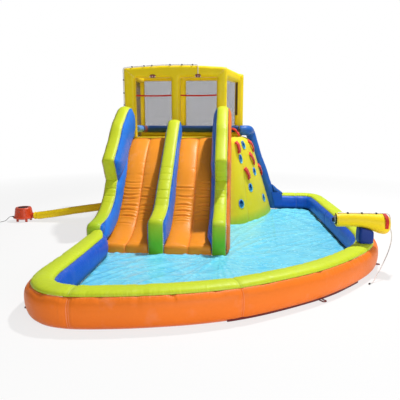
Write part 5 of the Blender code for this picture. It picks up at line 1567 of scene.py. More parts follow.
@dataclass
class Tower:
    """Block under the deck, and the cage of inflated posts, beams and nets on it."""

    front: float = -0.44
    depth: float = 1.02
    left: float = -0.86
    front_right: float = 0.84
    back_right: float = 1.13
    deck: float = 1.394
    post_front: float = -0.4097
    post_depth: float = 0.16
    post_widths: tuple = (0.19, 0.147, 0.167)
    beam_height: float = 0.158
    cage_height: float = 2.518
    arch: float = 0.038
    back_post: float = 0.155
    back_centre: float = 0.15
    back_rail: float = 0.085
    back_beam: float = 0.115
    back_frame_y: float = 0.42
    strap_height: float = 2.07
    gap: float = 0.0003
    guard_radius: float = 0.061
    guard_height: float = 1.536
    guard_bend: float = 0.13
    guard_pale: float = 0.34
    guard_tie: tuple = (-0.72, -0.65)
    guard_seam: float = 0.42
    guard_pitch: float = 0.52
    # Reach and heights of the painted-shade strip on the back-right post.
    shade_strip_reach: tuple = (0.010, 0.052)
    shade_strip_span: tuple = (1.78, 2.385)
    net_pitch: float = 0.0085
    yarn_width: float = 0.0034
    yarn_thickness: float = 0.0006
    strap_section: tuple = (0.0036, 0.0245)
    base_tube: float = 0.26
    deck_tube: float = 0.255
    base_round: float = 0.04

    @property
    def underside(self) -> float:
        """Height of the beams' lower side."""
        return self.cage_height - self.beam_height

    @property
    def post_back(self) -> float:
        """Y of the front posts' back."""
        return self.post_front + self.post_depth

    def side_x(self, y: float) -> float:
        """X of the tower's slanted right side."""
        return self.front_right + (self.back_right - self.front_right) / self.depth * (y - self.front)

    def base(self) -> None:
        """Builds the block, with upright air tubes round it and crossing tubes under the deck."""
        back = self.front + self.depth
        corners = np.array([
            (self.left, self.front), (self.front_right, self.front),
            (self.back_right, back), (self.left, back),
        ])
        loop = densely(corners, 0.022)
        ring_run = run_length(closed_up(loop))[:-1]
        starts = run_length(closed_up(corners))
        seam = np.full(len(loop), 9.0)
        for low, high in zip(starts, starts[1:]):
            count = max(1, round((high - low) / self.base_tube))
            for at in np.linspace(low, high, count + 1):
                seam = np.minimum(seam, np.abs(ring_run - at))
        seam = np.minimum(seam, np.abs(ring_run - starts[-1]))
        ahead = np.roll(loop, -1, axis=0) - np.roll(loop, 1, axis=0)
        ahead /= np.linalg.norm(ahead, axis=1, keepdims=True)
        out = np.stack([ahead[:, 1], -ahead[:, 0]], axis=1)
        ease, side_top = np.array([0.7, 0.42, 0.2, 0.06, 0.0]), self.deck - self.base_round
        levels = np.concatenate([np.linspace(0.001, side_top, 56), self.deck - self.base_round * ease])
        rounding = np.concatenate([np.zeros(56), 0.03 * np.array([0.05, 0.2, 0.45, 0.75, 1.0])])
        tubes = 0.03 * (1 - np.sqrt(np.clip(1 - (1 - np.minimum(seam, 0.13) / 0.13) ** 2, 0, 1)))
        drawn = np.broadcast_to(tubes, (len(levels), len(loop))) + rounding[:, None]
        drawn = drawn + gathers(levels[:, None], np.broadcast_to(seam, drawn.shape), 201, 0.005, 0.07, 0.06)
        top = np.broadcast_to((self.deck - levels)[:, None], drawn.shape)
        drawn = drawn + gathers(ring_run[None, :], top, 205, 0.006, 0.10, 0.05)
        drawn = drawn + gathers(
            ring_run[None, :], np.broadcast_to(levels[:, None], drawn.shape), 206, 0.006, 0.10, 0.05,
        )
        flat = loop[None] - out[None] * drawn[..., None]
        grid = np.dstack([flat, np.broadcast_to(levels[:, None], drawn.shape)])
        near = np.minimum(np.minimum(seam[None, :], top), levels[:, None])
        skin = Skin("tower_base_cover").grid(grid, near)
        field = Field.fill([grid[-1, :, :2]], 0.03)
        x, y = field.flat.T
        turn = (y - self.front) / self.deck_tube
        tube = np.abs(turn - np.round(turn)) * self.deck_tube
        dip = 0.012 * bell(tube, 0.02) + gathers(x, tube, 207, 0.004, 0.08, 0.06)
        z = self.deck - dip * np.clip(field.edge / 0.05, 0, 1)
        skin.add(
            np.stack([x, y, z], axis=1), np.stack([x, y, np.minimum(tube, field.edge)], axis=1), field.faces,
        )
        skin.place(YELLOW, "tower_base", fill=0.95, merge=0.0001)

    def frame(
        self, name: str, loops: Sequence[Array], middle: float, seams: Sequence[tuple[Point, Point]],
        nodes: Sequence[str], seed: int,
    ) -> None:
        """Builds an upright inflated frame, round at its outlines.

        Args:
            name: the piece's name.
            loops: its outline in X and Z, then its openings.
            middle: Y of its middle.
            seams: straight seams across it.
            nodes: the solids that it stands for.
            seed: picks its creases.
        """
        field = Field.fill(loops, 0.02, (0.0015, 0.005, 0.0105, 0.019))
        x, z = field.flat.T
        seam = segment_distance(field.flat, seams)
        half = pillow(np.clip(field.edge, 0, 0.075), self.post_depth / 2, 0.072, 2.7)
        half = half - gathers(field.run, field.edge, seed, 0.006, 0.05, 0.05)
        half = half - 0.006 * bell(seam, 0.011) - gathers(x + z, seam, seed + 2, 0.004, 0.05, 0.03)
        half = np.maximum(half, 0) * (field.edge > 1e-6)
        skin = Skin(name)
        lay = np.stack([field.run, z, np.minimum(field.edge + 0.006, seam)], axis=1)
        skin.add(np.stack([x, middle - half, z], axis=1), lay, field.faces)
        skin.add(np.stack([x, middle + half, z], axis=1), lay, [face[::-1] for face in field.faces])
        skin.place(YELLOW, *nodes, fill=0.95, merge=0.0001)

    def front_frame(self) -> None:
        """Builds the three front posts and the arched beam as one form."""
        left, centre, right = self.post_widths
        low, under, top, half = self.deck + self.gap, self.underside, self.cage_height, centre / 2
        inner, outer = self.left + left, self.front_right - right
        outline = densely(softened([
            (self.left, low), (inner, low), (inner, under), (-half, under), (-half, low), (half, low),
            (half, under), (outer, under), (outer, low), (self.front_right, low), (self.front_right, top),
            (self.left, top),
        ], 0.03), 0.02)
        rise = np.clip((outline[:, 1] - under) / self.beam_height, 0, 1)
        across = np.clip((self.front_right - outline[:, 0]) / (self.front_right - self.left), 0, 1)
        outline[:, 1] += self.arch * rise * np.sin(math.pi * across)
        seams = [((inner, under), (self.left, top)), ((outer, under), (self.front_right, top))]
        nodes = ["front_left_post", "front_centre_post", "front_right_post", "front_beam"]
        self.frame("front_frame_cover", [outline], self.post_front + self.post_depth / 2, seams, nodes, 251)

    def side_beam(self, side: str, near_x: float, far_x: float, width: float) -> None:
        """Builds a beam from the front beam to the back frame.

        Args:
            side: left or right.
            near_x: X of its right side at the front.
            far_x: X of its right side at the back.
            width: its width.
        """
        start, end = self.post_back - 0.085, self.back_frame_y + 0.075
        ring = rounded_ring(width, self.beam_height, 40)
        ring_run = run_length(closed_up(ring))[:-1]
        y = np.linspace(start, end, 34)
        edge = np.minimum(y - start, end - y)
        drawn = 0.01 * bell(edge, 0.014)[:, None]
        drawn = drawn + gathers(ring_run[None, :], edge[:, None], 231, 0.006, 0.07, 0.04)
        inward = ring / np.linalg.norm(ring, axis=1, keepdims=True)
        slim = 1 - 0.3 * bell(edge, 0.035)
        flat = (ring[None] - inward[None] * drawn[..., None]) * slim[:, None, None]
        middle = near_x + (far_x - near_x) * (y - start) / (end - start) - width / 2
        grid = np.dstack([
            middle[:, None] + flat[..., 0], np.broadcast_to(y[:, None], drawn.shape),
            self.underside + self.beam_height / 2 + flat[..., 1],
        ])
        Skin(f"{side}_beam_cover").grid(grid, edge[:, None]).place(YELLOW, f"{side}_beam", fill=0.95)

    def windows(self) -> list[tuple[float, float, float, float]]:
        """Returns the back frame's openings: low X, low Z, high X, high Z."""
        low, high = self.deck + self.gap + self.back_rail, self.cage_height - self.back_beam
        half = self.back_centre / 2
        return [
            (self.left + self.back_post, low, -half, high),
            (half, low, self.back_right - self.back_post, high),
        ]

    def back_frame(self) -> None:
        """Builds the back frame as one form round its two windows."""
        low, high = self.deck + self.gap, self.cage_height
        outline = ((self.left, low), (self.back_right, low), (self.back_right, high), (self.left, high))
        seams, loops = [], [outline]
        for low_x, low_z, high_x, high_z in self.windows():
            loops.append(((low_x, low_z), (low_x, high_z), (high_x, high_z), (high_x, low_z)))
            for x, way in ((low_x, -1), (high_x, 1)):
                run = way * (self.back_post if abs(x) > self.back_centre else self.back_centre / 2)
                seams += [((x, low_z), (x + run, low)), ((x, high_z), (x + run, high))]
        loops = [softened(loop, 0.02 if k else 0.05) for k, loop in enumerate(loops)]
        middle = self.back_frame_y + self.post_depth / 2
        self.frame("back_frame_cover", loops, middle, seams, ["back_frame"], 241)

    def shade_strip(self) -> None:
        """Builds a painted shade: a dark strip on the inner edge of the right window's post, for the post's
        shaded inner face.
        """
        out = np.linspace(*self.shade_strip_reach, 7)
        y = self.back_frame_y + self.post_depth / 2 - pillow(out, self.post_depth / 2, 0.072, 2.7) - 0.0015
        z = np.linspace(*self.shade_strip_span, 40)
        x = self.back_right - self.back_post + out
        wave = 0.0012 * (1 + swell(z[:, None] * 9, out[None, :] * 20, 271))
        grid = np.dstack(np.broadcast_arrays(x[None, :], y[None, :] - wave, z[:, None]))
        Skin("net_hem_right").grid(grid, closed=False).place(POST_SHADE_STRIP, solid=False)

    def net(
        self, name: str, node: str, low: Point, high: Point, level: float, upright_x: bool,
    ) -> None:
        """Weaves a net of flat yarn.

        Args:
            name: the piece's name.
            node: the solid that it stands for.
            low: low corner of the pane, across then up.
            high: its high corner.
            level: where the pane stands, in X or in Y.
            upright_x: whether the pane faces X, not Y.
        """
        pitch, width, thick = self.net_pitch, self.yarn_width, self.yarn_thickness
        skin = Skin(name)
        size = np.array(high) - np.array(low)
        for way in (0, 1):
            count = int(size[way] / pitch)
            for k in range(count + 1):
                at = low[way] + (size[way] - count * pitch) / 2 + k * pitch
                along = np.linspace(low[1 - way], high[1 - way], 26)
                sway = 0.0016 * swell(along * 3.1, at * 2.3, 251 + way)
                deep = 0.0022 * swell(along * 2.2, at * 1.7, 255) + (thick if way else -thick)
                rows = []
                for side in (-width / 2, width / 2):
                    pair = [at + sway + side, along] if way == 0 else [along, at + sway + side]
                    pair = [np.clip(pair[0], low[0], high[0]), np.clip(pair[1], low[1], high[1])]
                    place = [level + deep, *pair] if upright_x else [pair[0], level + deep, pair[1]]
                    rows.append(np.stack(np.broadcast_arrays(*place), axis=1))
                skin.grid(np.stack(rows, axis=1), closed=False)
        obj = skin.place(NET, node, merge=0.0, solid=False)

    def straps(self) -> None:
        """Builds the red grab straps across the slide openings."""
        left, centre, right = self.post_widths
        spans = {
            "left": (self.left + left, -centre / 2), "right": (centre / 2, self.front_right - right),
        }
        y = self.post_front + self.post_depth / 2
        for side, (low, high) in spans.items():
            share = np.linspace(0, 1, 60)
            x = low + self.gap + (high - low - 2 * self.gap) * share
            z = self.strap_height - 0.008 * np.sin(math.pi * share)
            ring = rounded_ring(*self.strap_section, 16, 6)
            twist = 0.10 * np.sin(math.pi * share) * swell(share * 2.5, 0, 261)
            across = ring[None, :, 0] * np.cos(twist)[:, None] - ring[None, :, 1] * np.sin(twist)[:, None]
            up = ring[None, :, 0] * np.sin(twist)[:, None] + ring[None, :, 1] * np.cos(twist)[:, None]
            grid = np.dstack(
                [np.broadcast_to(x[:, None], across.shape), y + across, z[:, None] + 0.0125 + up]
            )
            Skin(f"grab_strap_band_{side}").grid(grid).place(RED_BAND, f"grab_strap_{side}")

    def guard_line(self) -> Array:
        """Returns the middle line of the blue tube inside the cage."""
        radius, bend = self.guard_radius, self.guard_bend
        left = self.left + self.post_widths[0] / 2 + 0.002 + radius + self.gap
        back = self.back_frame_y - radius - self.gap
        line = [(left, self.post_back + self.gap + 0.02, self.guard_height)]
        line.append((left, back - bend - 0.15, self.guard_height))
        for angle in np.linspace(0, math.pi / 2, 7):
            x, y = left + bend - bend * math.cos(angle), back - bend + bend * math.sin(angle)
            line.append((x, y, self.guard_height))
        line.append((left + bend + 0.3, back, self.guard_height))
        line.append((self.back_right - self.back_post / 2 - 0.006, back, self.guard_height))
        return curve_through(line, 0.02)

    def guard_tube(self) -> None:
        """Builds the guard tube, pale at its left end."""
        line = self.guard_line()
        grid = tube_grid(line, self.guard_radius, 30, 0.005)
        run = run_length(grid.mean(axis=1))
        end = np.minimum(run, run[-1] - run)
        seams = np.abs(
            run[:, None] - np.arange(self.guard_seam, run[-1], self.guard_pitch)[None, :]
        ).min(axis=1)
        near = np.minimum(end, seams)[:, None] + np.zeros(30)
        turn = np.linspace(0, 1, 30, endpoint=False)
        drawn = gathers(turn[None, :] * 0.4, near, 265, 0.005, 0.07, 0.04)
        drawn = drawn + 0.004 * bell(near, 0.008) + 0.0015 * (1 + swell(run[:, None] * 9, turn * 4, 267))
        pale = (run[:-1] < self.guard_pale).astype(int)
        x, y, _ = grid.mean(axis=1)[:-1].T
        pale[(x > self.guard_tie[0]) & (x < self.guard_tie[1]) & (y > self.back_frame_y - 0.2)] = 2
        skin = Skin("guard_tube_cover").grid(drawn_in(grid, drawn), near, finish=pale)
        skin.place(NAVY, "guard_tube", fill=0.95, trim=[SKY, DARK_BAND])

    def build(self) -> None:
        """Makes the whole tower."""
        self.base()
        self.front_frame()
        left, _, right = self.post_widths
        start, end = self.post_back + self.gap, self.back_frame_y - self.gap
        self.side_beam("left", self.left + right, self.left + right, right)
        self.side_beam("right", self.front_right, self.side_x(end), right)
        self.back_frame()
        # Painted shade strip on the back-right post.
        self.shade_strip()
        middle = self.back_frame_y + self.post_depth / 2
        for side, (low_x, low_z, high_x, high_z) in zip(("left", "right"), self.windows()):
            low, high = (low_x + 0.001, low_z + 0.001), (high_x - 0.001, high_z - 0.001)
            self.net(f"back_net_{side}_yarn", f"back_net_{side}", low, high, middle, False)
        low, high = (start, self.deck + self.gap), (end, self.underside - self.gap)
        self.net("left_net_yarn", "left_net", low, high, self.left + left / 2, True)
        self.straps()
        self.guard_tube()


# Climbing wall


@dataclass
class ClimbingFace:
    """Leaning face of two air tubes with holes and grips in it."""

    left: float = 0.8691
    back_y: float = 0.565
    deck: float = 1.394
    foot_front: float = -0.82
    foot_reach: float = 0.83
    top_front: float = -0.52
    top_reach: float = 0.40
    top_round: float = 0.15
    bulge: float = 0.035
    foot_bulge: float = 0.022
    hole_radius: float = 0.062
    hole_half: tuple = (0.056, 0.066)
    hole_tilt: float = 15.0
    hole_depth: float = 0.10
    foot_shares: tuple = ((0.0, 0.0), (0.15, 0.035), (0.32, 0.12), (0.56, 0.32), (0.85, 0.68), (1.0, 1.0))
    top_shares: tuple = ((0.0, 0.0), (0.15, 0.03), (0.35, 0.12), (0.58, 0.34), (0.85, 0.70), (1.0, 1.0))
    holes: tuple = ((0.59, 0.91), (0.45, 0.75), (0.725, 0.57), (0.60, 0.395), (0.81, 0.215), (0.37, 0.235))
    solid_grips: int = 3
    grip_section: tuple = (0.088, 0.026)
    rim_radius: float = 0.0085
    grips: tuple = ((0.36, 0.885), (0.715, 0.733), (0.555, 0.57), (0.80, 0.885), (0.955, 0.56))

    def plan(self, level: float) -> Array:
        """Returns the face's line, from the slide to the back.

        Args:
            level: share of the face's height.

        Returns:
            X and Y of each point.
        """
        lines = []
        runs = (
            (self.foot_front, self.foot_reach, self.foot_shares),
            (self.top_front, self.top_reach, self.top_shares),
        )
        for front, reach, shares in runs:
            spots = [(self.left + reach * a, front + (self.back_y - front) * b) for a, b in shares]
            lines.append(curve_steps(spots, 24))
        line = lines[0] + (lines[1] - lines[0]) * level
        out = right_of(line)
        share = np.linspace(0, 2, len(line)) % 1
        full = self.foot_bulge + (self.bulge - self.foot_bulge) * math.sin(math.pi * min(1, level))
        line = line + out * (full * np.sqrt(np.maximum(0, np.sin(math.pi * share))))[:, None]
        start = 1 - self.top_round / self.deck
        if level > start:
            part = min(1, (level - start) / (1 - start))
            inset_x = self.top_round * (1 - math.sqrt(max(0.0, 1 - part**2)))
            line[:, 0] -= inset_x * np.minimum(1, np.linspace(0, 1, len(line)) * 2.5)
        line[:, 0] = np.maximum(line[:, 0], self.left)
        line[:, 1] = np.minimum(line[:, 1], self.back_y)
        return line

    def levels(self) -> Array:
        """Returns the heights of the face's rows, as shares."""
        start = 1 - self.top_round / self.deck
        return np.concatenate(
            [np.linspace(0, start, 62), start + (1 - start) * np.sin(np.linspace(0, math.pi / 2, 13)[1:])]
        )

    def surface(self) -> Array:
        """Returns the face as a grid of points, before its creases."""
        rows = []
        for level in self.levels():
            line = self.plan(level)
            rows.append(np.column_stack([line, np.full(len(line), level * self.deck)]))
        return np.stack(rows)

    def spot(self, along: float, level: float) -> tuple[Array, Array]:
        """Finds a place on the face.

        Args:
            along: share of the way from the slide to the back.
            level: share of the height.

        Returns:
            The point, and the direction straight out of the face.
        """

        def point(a: float, b: float) -> Array:
            line = self.plan(b)
            at = np.clip(a, 0, 1) * (len(line) - 1)
            flat = [np.interp(at, np.arange(len(line)), line[:, k]) for k in (0, 1)]
            return np.array([*flat, b * self.deck])

        step = 0.04
        across = point(along + step, level) - point(along - step, level)
        rise = point(along, min(level + step, 0.935)) - point(along, min(level, 0.935) - step)
        out = np.cross(across, rise)
        return point(along, level), out / np.linalg.norm(out)

    def cover(self, tower: Tower) -> None:
        """Builds the climbing wall's cover with the foot holes cut into it.

        Args:
            tower: the tower that the wall leans on.
        """
        grid = self.surface()
        normal = -grid_normals(grid)
        levels = self.levels() * self.deck
        share = np.linspace(0, 1, grid.shape[1])
        width = np.linalg.norm(np.diff(grid, axis=1), axis=2).sum(axis=1)
        seam = np.abs(share[None, :] - np.array([0, 0.5, 1.0])[:, None]).min(axis=0)[None, :] * width[:, None]
        run = levels[:, None] + 0 * seam
        drawn = gathers(run, seam, 301, 0.007, 0.13, 0.06)
        drawn = drawn + gathers(share[None, :] * 1.5 + 0 * seam, (self.deck - run), 305, 0.006, 0.10, 0.05)
        drawn = drawn + gathers(share[None, :] * 1.7 + 0 * seam, run, 306, 0.007, 0.13, 0.06)
        for number, (along, level) in enumerate(self.holes):
            centre, _ = self.spot(along, level)
            offset = grid - centre
            distance = np.linalg.norm(offset, axis=2) - self.hole_radius
            angle = np.arctan2(offset[..., 2], offset[..., 1])
            pucker = gathers(angle * 0.16, np.maximum(distance, 0), 311 + number, 0.006, 0.07, 0.05)
            drawn = drawn + (pucker + 0.006 * bell(distance, 0.03)) * (distance > -0.03)
        drawn = drawn + 0.002 * (1 + swell(run * 3, share[None, :] * 6, 318))
        fade = np.clip(share * 30, 0, 1) * np.clip((1 - share) * 30, 0, 1)
        grid = grid - normal * (drawn * fade[None, :] * np.clip(run / 0.02, 0, 1))[..., None]
        grid[..., 0] = np.maximum(grid[..., 0], self.left)
        grid[..., 1] = np.minimum(grid[..., 1], self.back_y)
        far_x = tower.side_x(self.back_y) + 0.0006
        side = []
        for row, z in zip(grid, levels):
            back = np.linspace(row[-1, :2], (far_x, self.back_y), 12)[1:]
            slant = np.linspace((far_x, self.back_y), (self.left, tower.front), 14)[1:]
            slant[:, 0] = np.maximum(slant[:, 0], self.left)
            front = np.linspace((self.left, tower.front), row[0, :2], 5)[1:-1]
            side.append(np.column_stack([np.vstack([back, slant, front]), np.full(12 + 14 + 5 - 4, z)]))
        whole = np.concatenate([grid, np.stack(side)], axis=1)
        near = np.concatenate([seam, np.full((len(whole), whole.shape[1] - seam.shape[1]), 0.3)], axis=1)
        near = np.minimum(near, np.minimum(self.deck - whole[..., 2] + 0.004, whole[..., 2] + 0.004))
        skin = Skin("climb_wall_cover").grid(whole, near)
        for row in (whole[-1], whole[0]):
            field = Field.fill([row[:, :2]], 0.035)
            crown = 0.013 * (row[0, 2] > 1) * (1 - np.exp(-field.edge / 0.07))
            skin.add(np.column_stack([field.flat, row[0, 2] + crown]), field.lay(), field.faces)
        obj = skin.make([CLIMB, HOLE_BLUE, LIT_HOLE_CYAN], 0.0005)
        for number in range(len(self.holes)):
            self.cut(obj, number)
        seat(obj, Body.SLIDE, ["climb_wall"])

    def ring(self, number: int, along: float, size: float) -> Array:
        """Returns a foot hole's oval outline.

        Args:
            number: which hole.
            along: how far it is moved out of the face.
            size: its scale.

        Returns:
            The outline's points.
        """
        centre, out = self.spot(*self.holes[number])
        side = np.cross(out, (0, 0, 1.0))
        side /= np.linalg.norm(side)
        rise, tilt = np.cross(side, out), math.radians(self.hole_tilt)
        tall = rise * math.cos(tilt) + side * math.sin(tilt)
        wide = side * math.cos(tilt) - rise * math.sin(tilt)
        turn = np.linspace(0, 2 * math.pi, 48, endpoint=False)[:, None]
        oval = np.cos(turn) * wide * self.hole_half[0] + np.sin(turn) * tall * self.hole_half[1]
        return centre + out * along + oval * size

    def cut(self, obj: bpy.types.Object, number: int) -> None:
        """Cuts one foot hole, blue inside, with its lower part painted pale cyan as painted light.

        Args:
            obj: the climbing wall's cover.
            number: which hole.
        """
        centre, out = self.spot(*self.holes[number])
        steps = ((0.06, 1.1), (0.0, 1.0), (-0.03, 1.0), (-0.06, 0.98), (-self.hole_depth, 0.9))
        grid = np.stack([self.ring(number, at, size) for at, size in steps])
        skin = Skin(f"hole_cut_{number + 1}").grid(grid, 0.05, caps=0.05)
        tool = skin.make([HOLE_BLUE, HOLE_BLUE, LIT_HOLE_CYAN], 0.0001)
        for face in tool.data.polygons:
            inner = face.center - Vector(centre)
            # Painted light: faces low in the hole take the pale cyan.
            low = inner.z < -0.012 and inner.dot(Vector(out)) < 0.03
            face.material_index = 2 if low else 1
        cutting = obj.modifiers.new("Hole", "BOOLEAN")
        cutting.operation, cutting.solver, cutting.object = "DIFFERENCE", "EXACT", tool
        cutting.material_mode = "INDEX"
        bpy.context.view_layer.update()
        made = bpy.data.meshes.new_from_object(obj.evaluated_get(bpy.context.evaluated_depsgraph_get()))
        obj.modifiers.clear()
        obj.data = made
        bpy.data.objects.remove(tool)

    def rims(self) -> None:
        """Builds the thick piping round each foot hole, with its lower side painted pale cyan as painted
        light.
        """
        turn = np.linspace(0, 2 * math.pi, 48, endpoint=False)
        for number in range(len(self.holes)):
            line = self.ring(number, -0.004, 1.04)
            grid = tube_grid(closed_up(line), self.rim_radius, 12)
            grid[-1] = grid[0]
            # Painted light: the rim's lower side takes the pale cyan.
            pale = np.cos(turn - math.radians(225)) > -0.25
            Skin(f"hole_rim_{number + 1}").grid(grid, finish=pale.astype(int)).place(BLUE, trim=[LIT_HOLE_CYAN])

    def hand_holds(self) -> None:
        """Builds the bowed straps to hold, sewn flat to the wall at both ends."""
        for number, (along, level) in enumerate(self.grips, 1):
            share = np.linspace(-0.64, 0.64, 41)
            bow = np.clip((0.5 - np.abs(share)) / 0.16, 0, 1)
            bow = bow * bow * (3 - 2 * bow)
            spots = [self.spot(along - 0.05 * a, level + 0.145 / self.deck * a) for a in share]
            centre, out = (np.array(column) for column in zip(*spots))
            lift = 0.013 + 0.016 * bow
            line = centre + out * lift[:, None]
            ahead = headings(line)
            side = np.cross(ahead, out)
            side /= np.linalg.norm(side, axis=1, keepdims=True)
            up = np.cross(side, ahead)
            ring = rounded_ring(*self.grip_section, 24, 3.4)
            width = 1 - 0.14 * bow + 0.03 * swell(share * 5, number, 281)
            across = ring[None, :, :1] * width[:, None, None]
            grid = line[:, None] + side[:, None] * across + up[:, None] * ring[None, :, 1:]
            nodes = [f"climb_grip_{number}"] if number <= self.solid_grips else []
            Skin(f"hand_hold_{number}").grid(grid, caps=0.01).place(RED_BAND, *nodes)


@dataclass
class TopHandle:
    """Thick red handle beside the top of the climbing wall."""

    route: tuple = (
        (0.930, 0.2830, 1.540), (0.980, 0.262, 1.522), (1.020, 0.225, 1.482), (1.047, 0.185, 1.440),
        (1.055, 0.170, 1.420), (1.055, 0.170, 1.3946),
    )
    radius: float = 0.014

    def build(self) -> None:
        """Makes the handle in two padded lobes, drawn in at both ends and between them."""
        line = curve_through(self.route, 0.004)
        share = run_length(line) / run_length(line)[-1]
        lobes = np.abs(np.sin(2 * math.pi * share)) ** 0.45
        radii = self.radius * (0.72 + 0.8 * lobes * (share < 0.92))
        grid = tube_grid(line, radii, 28, 0.004)
        Skin("top_handle_pad").grid(grid).place(RED_BAND, "top_handle")


@dataclass
class ClimbRail:
    """Blue tube that guards the far side of the climbing wall."""

    tower: Tower
    radius: float = 0.09
    pool_x: float = 1.845
    wall_back: float = 0.565
    seams: tuple = (0.42, 0.95, 1.5, 2.05)
    gusset_corner: tuple = (1.777, 0.655, 0.3135)
    gusset_depth: float = 0.146
    gusset_angle: float = 110.0
    gusset_reach: float = 0.092
    gusset_ends: tuple = (0.180, 0.150)
    flap_y: float = 0.5412
    flap_span: tuple = (0.024, 0.345)
    flap_left: float = 1.787
    flap_lean: float = 0.235
    flap_right: tuple = ((0.0, 1.905), (0.300, 1.905), (0.345, 1.80))
    flap_flat: tuple = (0.17, 0.321)
    shares: tuple = (
        (0.0, 0.0, 1.0), (0.03, 0.0, 1.0), (0.11, 0.0, 1.0), (0.178, 0.032, 1.0), (0.232, 0.17, 1.0),
        (0.255, 0.339, 0.999), (0.274, 0.554, 0.996), (0.292, 0.769, 0.99), (0.316, 0.938, 0.972),
        (0.352, 1.0, 0.929), (0.416, 1.0, 0.829), (0.53, 1.0, 0.664), (0.665, 1.0, 0.504),
        (0.779, 1.0, 0.352), (0.879, 1.0, 0.239), (0.95, 1.0, 0.145), (0.99, 1.0, 0.08), (1.0, 1.0, 0.03),
        (1.0, 1.0, 0.0),
    )

    def build(self) -> None:
        """Makes the tube, gathered at its cross seams."""
        tower = self.tower
        start = np.array([
            tower.back_right - tower.back_post / 2 + tower.gap, tower.back_frame_y - self.radius - tower.gap,
        ])
        reach = np.array(
            [self.pool_x - self.radius - tower.gap, self.wall_back + self.radius + tower.gap]
        ) - start
        height = tower.guard_height + tower.guard_radius - self.radius
        points = [(start[0] + reach[0] * a, start[1] + reach[1] * b, height * c) for a, b, c in self.shares]
        line = curve_through(points, 0.022)
        line = line[(run_length(line) > 0.006) & (line[:, 2] > 0.012)]
        grid = tube_grid(line, self.radius, 36, 0.005)
        run = run_length(grid.mean(axis=1))
        end = np.minimum(run, run[-1] - run)
        seams = np.abs(run[:, None] - np.array(self.seams)[None, :]).min(axis=1)
        near = np.minimum(end, seams)[:, None] + np.zeros(36)
        turn = np.linspace(0, 1, 36, endpoint=False)
        drawn = gathers(turn[None, :] * 0.55, near, 325, 0.007, 0.09, 0.05)
        drawn = drawn + 0.005 * bell(near, 0.009) + 0.002 * (1 + swell(run[:, None] * 7, turn * 4, 327))
        grid = drawn_in(grid, drawn)
        grid[..., 2] = np.maximum(grid[..., 2], 0)
        Skin("climb_rail_cover").grid(grid, near).place(RAIL_BLUE, "climb_rail", fill=0.95)

    def gusset(self) -> None:
        """Builds the padded gusset between the rail's foot and the top of the pool wall."""
        corner_x, middle, corner_z = self.gusset_corner
        share = np.linspace(0, 1, 25)
        angle = np.radians(self.gusset_angle * (1 - share))
        ends = np.where(share < 0.5, *self.gusset_ends)
        reach = self.gusset_reach + (ends - self.gusset_reach) * np.abs(2 * share - 1) ** 2.2
        rows = []
        for turn, size, part in zip(angle, reach, share):
            ring = rounded_ring(size, self.gusset_depth * (1 - 0.10 * math.sin(math.pi * part)), 36, 2.8)
            along = ring[:, 0] + size / 2
            x, z = corner_x + along * math.cos(turn), corner_z + along * math.sin(turn)
            rows.append(np.stack([x, middle + ring[:, 1], z], axis=1))
        Skin("rail_foot_gusset").grid(np.stack(rows), 0.03, caps=0.01).place(RAIL_BLUE, fill=0.9)

    def flap(self) -> None:
        """Builds the cloth flap that joins the rail's foot and the wall's inner panel."""
        level = np.linspace(*self.flap_span, 24)
        low = self.flap_left - self.flap_lean * level
        high = np.interp(level, *zip(*self.flap_right)) + 0.004 * swell(level * 9, 0, 335)
        rows = []
        for z, left, right in zip(level, low, high):
            ring = rounded_ring(right - left, 0.0036, 40, 6)
            wave = 0.0012 * swell((ring[:, 0] + left) * 14, z * 9, 337)
            x, y = ring[:, 0] + (left + right) / 2, self.flap_y + ring[:, 1] + wave
            rows.append(np.stack([x, y, np.full(len(ring), z)], axis=1))
        obj = Skin("rail_foot_flap").grid(np.stack(rows), 0.03, caps=0.01).place(POOL_BLUE)


@dataclass
class AirTube:
    """Cloth sleeve that carries air from the blower."""

    start: tuple = (-2.3697, 0.095)
    end: tuple = (-0.8691, 0.305)
    y: float = -0.72
    radius: float = 0.063
    tie_run: float = 0.035
    shares: tuple = (
        (0.0, 0.0), (0.05, 0.02), (0.20, 0.17), (0.45, 0.47), (0.75, 0.79), (0.93, 0.97), (1.0, 1.0),
    )

    def build(self) -> None:
        """Makes the sleeve with its soft folds, tied over the blower's outlet."""
        (near_x, low), (far_x, high) = self.start, self.end
        points = [(near_x + (far_x - near_x) * a, self.y, low + (high - low) * b) for a, b in self.shares]
        line = curve_through(points, 0.012)
        run = run_length(line)
        grid = tube_grid(line, self.radius, 36)
        turn = np.linspace(0, 1, 36, endpoint=False)
        near = np.minimum(run, run[-1] - run)[:, None] + np.zeros(36)
        drawn = gathers(turn[None, :] * 0.4, near, 331, 0.006, 0.07, 0.035)
        rings = np.maximum(0, swell(run[:, None] / 0.045, turn[None, :] * 3, 333)) ** 2
        drawn = drawn + 0.004 * rings + 0.007 * bell(run[:, None] - self.tie_run, 0.012)
        out = (grid - grid.mean(axis=1, keepdims=True)) / self.radius
        Skin("air_tube_sleeve").grid(grid - out * drawn[..., None], near).place(YELLOW, "air_tube", fill=0.9)


# Water and cords


def barrel_radius(share: Array | float) -> Array:
    """Returns the cannon barrel's radius at a share of its length from the nozzle."""
    shares = (0.0, 0.02, 0.16, 0.36, 0.50, 0.62, 0.73, 0.83, 0.91, 0.965, 0.99, 1.0)
    steps = (-0.12, 0.0, -0.06, -0.10, 0.0, 0.25, 0.60, 0.90, 1.0, 0.75, 0.25, -0.35)
    return 0.076 + 0.036 * np.interp(share, shares, steps)


